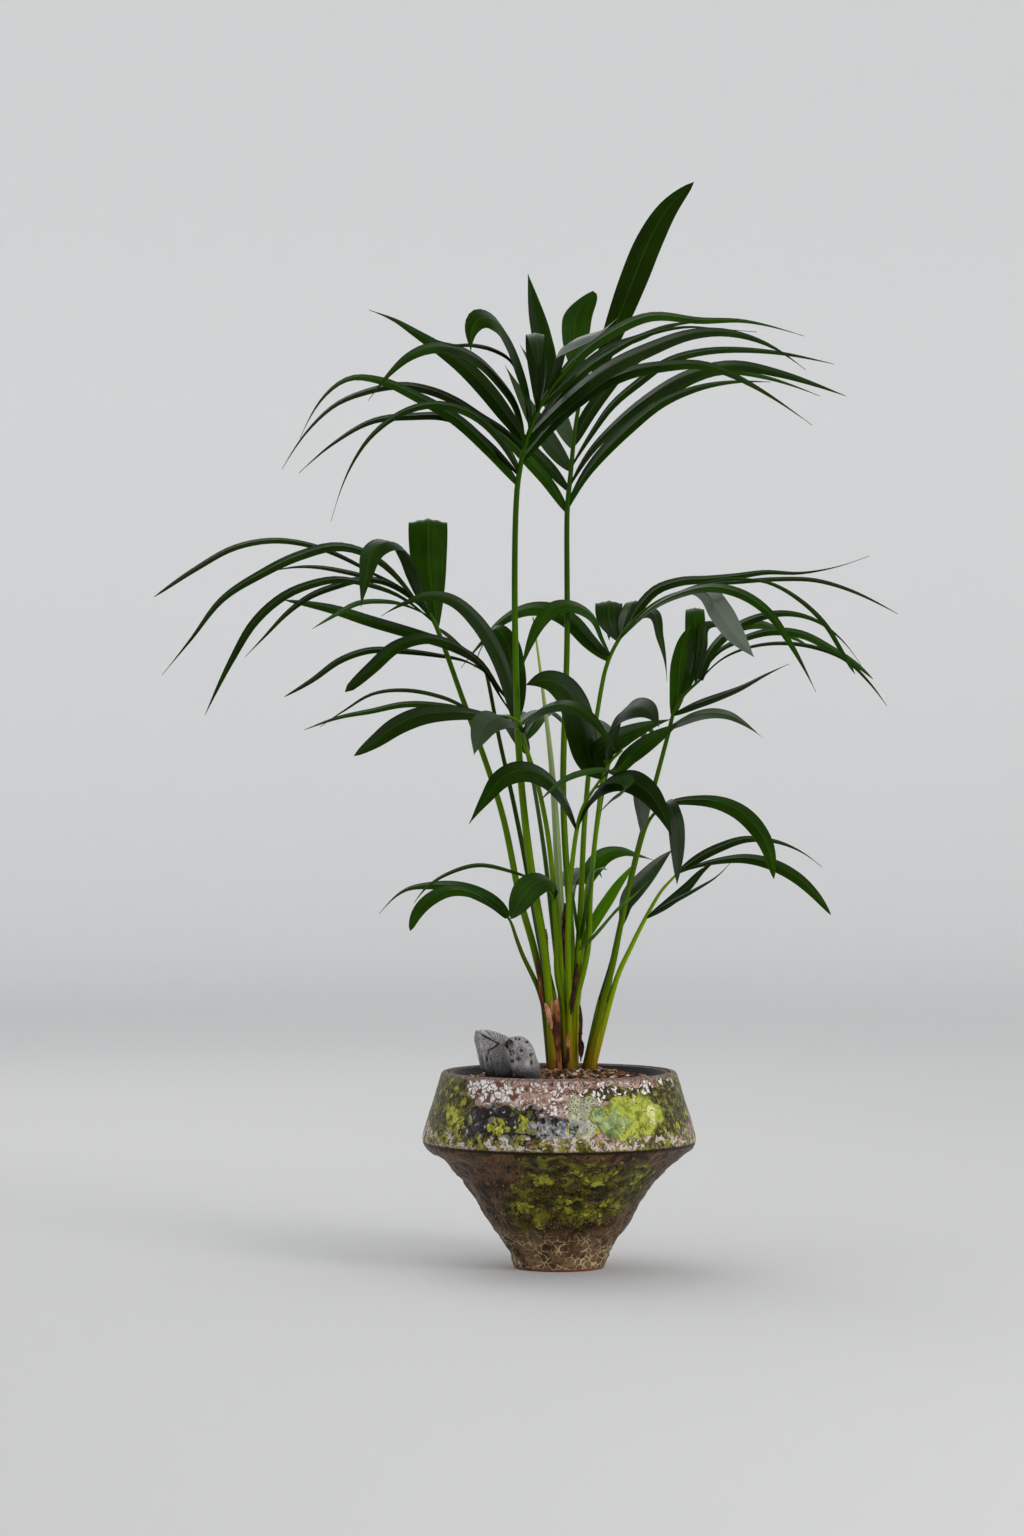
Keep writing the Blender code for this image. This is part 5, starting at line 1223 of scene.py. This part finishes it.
# Leaflets: kentia pinnae, long smooth blades folded down from the midrib, each joined to the
# rib by its narrow foot. They part in a plane on both sides, arch over and hang to a fine
# point. A leaflet that would pass through another frond swings forward or back until clear.
LEAF_FOLD = 0.09
FOOT, TAPER_MOST, TAPER_LOSS = 0.02, 2.15, 2.35
LEAF_THICK, LEAF_LEAST_THICK, LEAF_STEPS, LEAF_LINE_STEPS, ARCH_STEPS = 0.012, 1.6, 8, 32, 8
SWING_STEPS = (0, 12, -12, 24, -24, 36, -36, 50, -50, 66, -66, 84, -84, 104, -104, 126, -126)
CLEAR = 1.0
BLADE_STATIONS, BLADE_CROSS, BLADE_THICK = 34, 8, 0.45


def leaflet_curve(rib, leaflet, swing):
    """A smooth arch from the rib through the leaflet's points; a swing moves only its depth."""
    station, through, tip_depth = leaflet[:3]
    place = station * (len(rib) - 1)
    step = min(int(place), len(rib) - 2)
    root = rib[step].lerp(rib[step + 1], place - step)
    seen = [(root.x, root.z), *through]
    reach = [0.0]
    for (a, b), (c, d) in zip(seen, seen[1:]):
        reach.append(reach[-1] + math.hypot(c - a, d - b))
    points = [root]
    for (across, up), far in zip(through, reach[1:]):
        depth = root.y + (tip_depth + swing - root.y) * far / reach[-1]
        points.append(in_view(across, up, depth))
    headings = [(b - a).normalized() for a, b in zip(points, points[1:])]
    turns = [(a + b).normalized() for a, b in zip(headings, headings[1:])]
    ways = [1.5 * headings[0] - 0.5 * turns[0], *turns, 1.5 * headings[-1] - 0.5 * turns[-1]]
    curve = [root]
    for k in range(len(headings)):
        curve += half_arch(points[k], points[k + 1], ways[k], ways[k + 1])
    return curve


def half_arch(start, end, leave, arrive):
    """Points along a cubic that leaves one point and arrives at the next in given directions."""
    reach = (end - start).length
    points = []
    for k in range(1, ARCH_STEPS + 1):
        t = k / ARCH_STEPS
        points.append(start.lerp(end, t * t * (3 - 2 * t))
                      + reach * (t * (1 - t) ** 2 * leave - t * t * (1 - t) * arrive))
    return points


def outline(t, widest):
    """Share of the full width at t from root to tip: narrow foot, pointed tip."""
    taper = TAPER_MOST - TAPER_LOSS * widest
    swell = taper * widest / (1 - widest)
    return ((t + FOOT) / (widest + FOOT)) ** swell * ((1 - t) / (1 - widest)) ** taper


def facing(curve, along, roll):
    """Across a blade and out of its face, where the blade runs along a direction."""
    reach = Vector((curve[-1].x - curve[0].x, curve[-1].y - curve[0].y, 0)).normalized()
    flat = reach.cross(Vector((0, 0, 1)))
    to_front = math.copysign(1, -flat.y)
    turn = math.radians(roll)
    over = flat.cross(along).normalized()
    side = flat * math.cos(turn) - over * (to_front * math.sin(turn))
    return side, over * math.cos(turn) + flat * (to_front * math.sin(turn))


def plain_blade(curve, width, roll, widest, start):
    """A leaflet with room all round it, in a few faces, to try whether it is clear."""
    length = sum((b - a).length for a, b in zip(curve, curve[1:]))
    line = smooth_path(curve, LEAF_LINE_STEPS)
    thick = max(LEAF_THICK * length, LEAF_LEAST_THICK)
    verts = []
    for k in range(LEAF_STEPS):
        t = start + (1 - start) * k / LEAF_STEPS
        place = min(int(t * LEAF_LINE_STEPS), LEAF_LINE_STEPS - 1)
        point = line[place].lerp(line[place + 1], t * LEAF_LINE_STEPS - place)
        side, face = facing(curve, (line[place + 1] - line[place]).normalized(), roll)
        full = width * outline(t, widest)
        half = side * (full / 2 + CLEAR)
        drop = face * (full * LEAF_FOLD)
        body = face * (thick * min(1.0, 3.2 * (1 - t)) / 2 + CLEAR)
        low = face * CLEAR
        verts += [point - half - drop + low, point + body, point + half - drop + low,
                  point + half - drop - low, point - body, point - half - drop - low]
    verts.append(line[-1])
    faces = [tuple(reversed(range(6)))]
    for k in range(0, (LEAF_STEPS - 1) * 6, 6):
        for n in range(6):
            faces.append((k + n, k + (n + 1) % 6, k + 6 + (n + 1) % 6, k + 6 + n))
    last = (LEAF_STEPS - 1) * 6
    faces += [(last + n, last + (n + 1) % 6, len(verts) - 1) for n in range(6)]
    return BVHTree.FromPolygons(verts, faces)


def clear_of(tree, others):
    """Whether a leaflet crosses none of the others."""
    return not any(tree.overlap(other) for other in others)


def grown_leaflets():
    """The curve of every leaflet, frond by frond, swung clear of all that grew before it."""
    ribs = {}
    placed = {}
    for frond in FRONDS:
        line, fork = LINES[frond.name]
        ribs[frond.name] = smooth_path(line[fork:], RIB_STEPS)
        path = smooth_path(line[:fork + 1], STALK_STEPS) + ribs[frond.name][1:]
        placed[frond.name] = [BVHTree.FromPolygons(*tube(path, blend(*frond.radii, len(path)), 6))]
    foot, belly, tip = SPEAR_RADII
    radii = blend(foot, belly, 6) + blend(belly, tip, 10)[1:]
    placed["spear"] = [BVHTree.FromPolygons(*tube(smooth_path(SPEAR_PATH, 14), radii, 6))]
    grown = {}
    for frond in FRONDS:
        others = [tree for name, trees in placed.items() if name != frond.name for tree in trees]
        grown[frond.name] = []
        own = []
        for leaflet in frond.leaflets:
            width, roll, widest = leaflet[3:]
            for swing in SWING_STEPS:
                curve = leaflet_curve(ribs[frond.name], leaflet, swing)
                roomy = plain_blade(curve, width, roll, widest, 0.0)
                outer = plain_blade(curve, width, roll, widest, 0.3)
                if clear_of(roomy, others) and clear_of(outer, own + placed[frond.name][:1]):
                    grown[frond.name].append((curve, width, roll, widest))
                    own.append(outer)
                    placed[frond.name].append(roomy)
                    break
    return grown


def strip_faces(rows, columns):
    """The faces of a strip whose points lie in rows from its start to its end."""
    faces = []
    for row in range(rows):
        for column in range(columns):
            low = row * (columns + 1) + column
            faces.append((low, low + 1, low + columns + 2, low + columns + 1))
    return faces


def fine_blade(curve, width, roll, widest, wave):
    """A leaflet's skin: a strip with a ridged midrib, two lengthwise pleats a side and a
    slightly wavy edge, as points, faces and the place of each point on the blade."""
    line = smooth_path(curve, BLADE_STATIONS)
    length = sum((b - a).length for a, b in zip(line, line[1:]))
    verts, spots = [], []
    for k, point in enumerate(line):
        t = k / BLADE_STATIONS
        before, after = line[max(k - 1, 0)], line[min(k + 1, BLADE_STATIONS)]
        side, face = facing(curve, (after - before).normalized(), roll)
        full = max(width * outline(t, widest), 2.4 * (1 - t), 0.3)
        for n in range(BLADE_CROSS + 1):
            s = 2 * n / BLADE_CROSS - 1
            drop = full * LEAF_FOLD * abs(s) ** 1.15
            pleat = 0.012 * full * math.cos(abs(s) * 4 * math.pi)
            sway = 0.035 * width * s * abs(s) * math.sin(wave + 9 * t + (2 if s > 0 else 0))
            ridge = 0.5 * (1 - t) if n == BLADE_CROSS // 2 else 0.0
            lift = pleat + ridge - drop + sway * min(t / 0.2, 1.0) * (1 - t)
            verts.append(point + side * (full * s / 2) + face * lift)
            spots.append((n / BLADE_CROSS, t * length * MM))
    return verts, strip_faces(BLADE_STATIONS, BLADE_CROSS), spots


def thicken(sheet, thick):
    """Gives a thin sheet its thickness in millimetres, half of it to each side."""
    body = sheet.modifiers.new("body", "SOLIDIFY")
    body.thickness = thick * MM
    body.offset = 0.0
    bpy.ops.object.modifier_apply(modifier=body.name)
    bpy.ops.object.shade_smooth_by_angle(angle=math.radians(50))


# Kentia leaf: thick, leathery, waxed green. Fine veins run the whole length beside a paler
# midrib, 1 mm apart and drawn 1.5 mm apart so that they show; the wax gives a grey sheen.
leaf, tree, shader = new_finish("kentia_leaf", 0.45, 0.3, "#566c28")
spot = add_node(tree, "UVMap", uv_map="blade").outputs[0]
place = add_node(tree, "TexCoord").outputs["Object"]
tone = add_node(tree, "Attribute", attribute_name="tone").outputs["Fac"]
veins = add_node(tree, "Mapping", {"Vector": spot, "Scale": (26.0, 9.0, 1.0)}).outputs[0]
veins = add_node(tree, "TexNoise", {"Vector": veins, "Scale": 1.0, "Detail": 2.0}).outputs[0]
patches = add_node(tree, "TexNoise", {"Vector": place, "Scale": 28.0, "Detail": 3.0}).outputs[0]
mixed = add_node(tree, "Math", {0: veins, 1: patches}, operation="ADD").outputs[0]
mixed = add_node(tree, "Math", {0: mixed, 1: -1.0}, operation="ADD").outputs[0]
mixed = add_node(tree, "Math", {0: mixed, 1: 0.35, 2: tone}, operation="MULTIPLY_ADD").outputs[0]
green = add_node(tree, "ValToRGB", {0: mixed}, (
    (0.0, "#081001"), (0.25, "#132502"), (0.45, "#203e03"), (0.65, "#335a04"), (0.85, "#548408"),
    (1.0, "#7ca414"))).outputs[0]
across = add_node(tree, "SeparateXYZ", {0: spot}).outputs["X"]
middle = add_node(tree, "Math", {0: across, 1: 0.5}, operation="SUBTRACT").outputs[0]
middle = add_node(tree, "Math", {0: middle}, operation="ABSOLUTE").outputs[0]
middle = add_node(tree, "MapRange", {"Value": middle, "From Min": 0.04, "From Max": 0.015,
                                     "To Max": 0.12}).outputs[0]
tree.links.new(laid(green, linear("#4f7a1c"), middle), shader.inputs["Base Color"])
bump = add_node(tree, "Bump", {"Height": veins, "Strength": 0.35, "Distance": 0.0005})
tree.links.new(bump.outputs[0], shader.inputs["Normal"])

# How light the leaflets are, from 0 to 1: the younger fronds are lighter.
LEAF_TONE, LEAF_TONE_SPREAD = 0.3, 0.12
YOUNG_TONES = {"young": 0.75, "centre_small": 0.5, "low_front": 0.34}
random.seed(23)
GROWN = grown_leaflets()
for stem, nodes in FROND_NODES.items():
    verts, faces, tones, spots = [], [], [], []
    for frond in FRONDS:
        if frond.stem != stem:
            continue
        for curve, width, roll, widest in GROWN[frond.name]:
            points, sides, marks = fine_blade(curve, width, roll, widest, random.uniform(0, 6.28))
            gather(verts, faces, points, sides)
            spots += marks
            shade = YOUNG_TONES.get(frond.name, LEAF_TONE)
            shade += random.uniform(-LEAF_TONE_SPREAD, LEAF_TONE_SPREAD)
            tones += [shade] * len(points)
    blades = joined("leaflets_" + stem, verts, faces, tones, leaf)
    marks = blades.data.uv_layers.new(name="blade")
    for loop in blades.data.loops:
        marks.data[loop.index].uv = spots[loop.vertex_index]
    thicken(blades, BLADE_THICK)
    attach(blades, "root")
    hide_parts(*nodes)


# Sheaths: the broad green feet of the stalks clasp each other into a bundle. The oldest have
# dried to brown paper, torn along the top, and shreds of their margins cling to the stalks.
WRAPS = (
    # stem, first and last side in degrees, lowest and highest edge, room over the stem, tones
    ("left", 266, 332, 195, 274, 0.8, (0.66, 0.2, 0.9)),
    ("left", 236, 300, 195, 214, 1.6, (0.5, 0.3, 0.55)),
    ("centre", 205, 250, 195, 217, 1.2, (0.3, 0.15, 0.3)),
    ("left", 40, 150, 195, 250, 1.2, (0.4, 0.2, 0.5)),
    ("centre", 60, 170, 195, 245, 1.2, (0.4, 0.2, 0.5)),
    ("back", 20, 190, 195, 255, 1.2, (0.4, 0.2, 0.5)),
)
SHREDS = (
    # points across, up, depth down a shred, its width and tone
    (((-23, 314, -13), (-20, 290, -14), (-17, 267, -15), (-13, 248, -16)), 3.2, 0.32),
    (((-19, 348, -15), (-14, 322, -13), (-10, 299, -12), (-8, 285, -12)), 3.4, 0.25),
    (((-13, 338, -13), (-12, 320, -13), (-11, 304, -13)), 2.6, 0.4),
    (((6, 364, 5), (5, 335, 3), (5, 312, 1), (6, 298, 1)), 4.2, 0.25),
    (((18, 304, -8), (16, 285, -9), (13, 262, -10), (12, 252, -10)), 4.2, 0.1),
    (((21, 262, -6), (22, 245, -7), (21, 222, -7), (22, 205, -7)), 3.2, 0.15),
    (((22, 228, -7), (24, 220, -7), (22, 208, -7)), 2.4, 0.1),
    (((9, 234, -11), (9, 222, -12), (11, 206, -12)), 3.6, 0.62),
    (((9, 218, -13), (9, 210, -13), (8, 203, -13)), 3.4, 0.2),
    (((-14, 264, -17), (-11, 256, -18), (-9, 246, -18), (-7, 238, -17)), 4.6, 0.78),
)


WRAP_COLUMNS, WRAP_ROWS, SHRED_STEPS, RAG_THICK = 36, 16, 24, 0.45
CORE_SIDES, CORE_STEPS = 40, 14
# How light each stem's core is: partly painted shade, near black green where the cores show between
# the stalks; the right one is lighter.
CORE_TONES = {"left": 0.02, "centre": 0.08, "right": 0.3, "back": 0.0}


def torn_wrap(stem, first, last, low, high, room, seed):
    """A curved sheet round the foot of a stem, ribbed with fibres and torn along its top."""
    verts, faces = [], []
    columns, rows = WRAP_COLUMNS, WRAP_ROWS
    for n in range(columns + 1):
        turn = math.radians(first + (last - first) * n / columns)
        edge = min(n, columns - n) / 5
        tear = 9 * noise.noise(Vector((n * 0.45, seed, 0)))
        tear += 5 * noise.noise(Vector((n * 1.7, seed, 3)))
        top = high - 7 + tear - 12 * max(0.0, 1 - edge)
        for m in range(rows + 1):
            up = low + (top - low) * m / rows
            share = (up - STEM_FOOT_UP) / (STEM_TOP_UP - STEM_FOOT_UP)
            foot, head = Vector((*STEMS[stem].foot, 0)), Vector((*STEMS[stem].top, 0))
            middle = foot.lerp(head, share)
            radius = STEMS[stem].foot_radius * (1 - share) + STEMS[stem].top_radius * share
            radius += room + 0.5 * noise.noise(Vector((n * 0.9, up * 0.03, seed)))
            radius += 0.9 * max(0.0, m / rows - 0.7) * noise.noise(Vector((n * 0.6, seed, 7))) * 4
            verts.append(Vector((middle.x + radius * math.cos(turn),
                                 middle.y + radius * math.sin(turn), up)))
    for n in range(columns):
        for m in range(rows):
            a = n * (rows + 1) + m
            faces.append((a, a + rows + 1, a + rows + 2, a + 1))
    return verts, faces


def shred(points, width, seed):
    """A ragged strip of dry sheath that follows a stalk."""
    line = smooth_path([in_view(*p) for p in points], SHRED_STEPS)
    verts = []
    for k, point in enumerate(line):
        t = k / SHRED_STEPS
        half = width / 2 * min(1.0, 4 * t + 0.25, 4 * (1 - t) + 0.15)
        left = half * (1 + 0.6 * noise.noise(Vector((k * 0.8, seed, 0))))
        right = half * (1 + 0.6 * noise.noise(Vector((k * 0.8, seed, 9))))
        bow = 0.9 * noise.noise(Vector((k * 0.35, seed, 4)))
        verts += [point + Vector((-left, 0.4 * half, 0)),
                  point + Vector((-0.3 * left, -0.5 + bow, 0)),
                  point + Vector((0.3 * right, -0.5 - bow, 0)),
                  point + Vector((right, 0.4 * half, 0))]
    return verts, strip_faces(SHRED_STEPS, 3)


# Dry palm sheath: papery, matt, ribbed lengthwise with fibres half a millimetre apart, dark
# brown to straw.
husk, tree, shader = new_finish("dry_sheath_fibre", 0.8, 0.25)
place = add_node(tree, "TexCoord").outputs["Object"]
tone = add_node(tree, "Attribute", attribute_name="tone").outputs["Fac"]
long = add_node(tree, "Mapping", {"Vector": place, "Scale": (900.0, 900.0, 45.0)}).outputs[0]
fibre = add_node(tree, "TexNoise", {"Vector": long, "Scale": 1.0, "Detail": 4.0}).outputs[0]
blotch = add_node(tree, "TexNoise", {"Vector": place, "Scale": 120.0, "Detail": 2.0}).outputs[0]
mixed = add_node(tree, "Math", {0: fibre, 1: blotch}, operation="ADD").outputs[0]
mixed = add_node(tree, "Math", {0: mixed, 1: -1.0}, operation="ADD").outputs[0]
mixed = add_node(tree, "Math", {0: mixed, 1: 0.9, 2: tone}, operation="MULTIPLY_ADD").outputs[0]
brown = add_node(tree, "ValToRGB", {0: mixed}, (
    (0.0, "#1c0c08"), (0.25, "#451c10"), (0.45, "#70401f"), (0.65, "#9a6636"), (0.85, "#b98468"),
    (1.0, "#d4a898")))
tree.links.new(brown.outputs[0], shader.inputs["Base Color"])
bump = add_node(tree, "Bump", {"Height": fibre, "Strength": 0.7, "Distance": 0.0008})
tree.links.new(bump.outputs[0], shader.inputs["Normal"])

# Green sheath: the waxed foot of a living stalk, yellow green along its margins and where it
# goes into the granules. The cores are painted dark, as shade, where they show between the
# stalks, and the right one is painted lit on its right side.
clasp, tree, shader = new_finish("green_sheath", 0.45, 0.35, "#9fc070")
place = add_node(tree, "TexCoord").outputs["Object"]
height = add_node(tree, "SeparateXYZ", {0: place}).outputs["Z"]
tone = add_node(tree, "Attribute", attribute_name="tone").outputs["Fac"]
long = add_node(tree, "Mapping", {"Vector": place, "Scale": (500.0, 500.0, 18.0)}).outputs[0]
fibre = add_node(tree, "TexNoise", {"Vector": long, "Scale": 1.0, "Detail": 4.0}).outputs[0]
green = add_node(tree, "ValToRGB", {0: around(tone, fibre, 1.1)}, (
    (0.0, "#121c06"), (0.25, "#243a08"), (0.5, "#48640a"), (0.75, "#7e8410"),
    (1.0, "#b09a18"))).outputs[0]
low = add_node(tree, "MapRange", {"Value": height, "From Min": 0.222, "From Max": 0.2,
                                  "To Max": 0.6}).outputs[0]
tree.links.new(laid(green, linear("#7a4c1c"), low), shader.inputs["Base Color"])
bump = add_node(tree, "Bump", {"Height": fibre, "Strength": 0.4, "Distance": 0.0006})
tree.links.new(bump.outputs[0], shader.inputs["Normal"])

for stem, sizes in STEMS.items():
    foot = Vector((*sizes.foot, STEM_FOOT_UP - 5))
    head = Vector((*sizes.top, STEM_TOP_UP + 4))
    path = [foot.lerp(head, k / CORE_STEPS) for k in range(CORE_STEPS + 1)]
    radii = blend(sizes.foot_radius * 0.95, sizes.top_radius * 0.8, CORE_STEPS + 1)
    verts, faces = tube(path, radii, CORE_SIDES)
    tones = []
    for k, vert in enumerate(verts):
        ring, side = divmod(k, CORE_SIDES)
        ridge = abs(math.cos(2.5 * 2 * math.pi * side / CORE_SIDES + 0.02 * ring))
        verts[k] = path[ring] + (vert - path[ring]) * (0.84 + 0.16 * ridge)
        tone = CORE_TONES[stem] - 0.15 + 0.4 * ridge ** 3
        # Painted light: the right core is lighter on its right side, where the light falls, fading
        # out toward its top.
        if stem == "right":
            lit_side = max(0.0, math.cos(2 * math.pi * side / CORE_SIDES))
            tone += 0.6 * lit_side * min((270 - vert.z) / 40, 1)
        tones.append(tone)
    bundle = joined("sheath_core_" + stem, verts, faces, tones, clasp)
    bpy.ops.object.shade_smooth_by_angle(angle=math.radians(60))
    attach(bundle, "root")
    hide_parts("stem_" + stem)

verts, faces, tones = [], [], []
strips = [(*torn_wrap(*wrap, k), shades_up) for k, (*wrap, shades_up) in enumerate(WRAPS)]
strips += [(*shred(*rag, k), (shade,) * 3) for k, (*rag, shade) in enumerate(SHREDS)]
for points, sides, (foot_tone, middle_tone, top_tone) in strips:
    gather(verts, faces, points, sides)
    low, high = min(p.z for p in points), max(p.z for p in points)
    for point in points:
        share = (point.z - low) / (high - low)
        tones.append(middle_tone + (foot_tone - middle_tone) * max(0.0, 1 - share / 0.4)
                     + (top_tone - middle_tone) * max(0.0, (share - 0.6) / 0.4))
rags = joined("sheath_rags", verts, faces, tones, husk)
thicken(rags, RAG_THICK)
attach(rags, "root")
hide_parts(*("stem_" + stem for stem in STEMS))
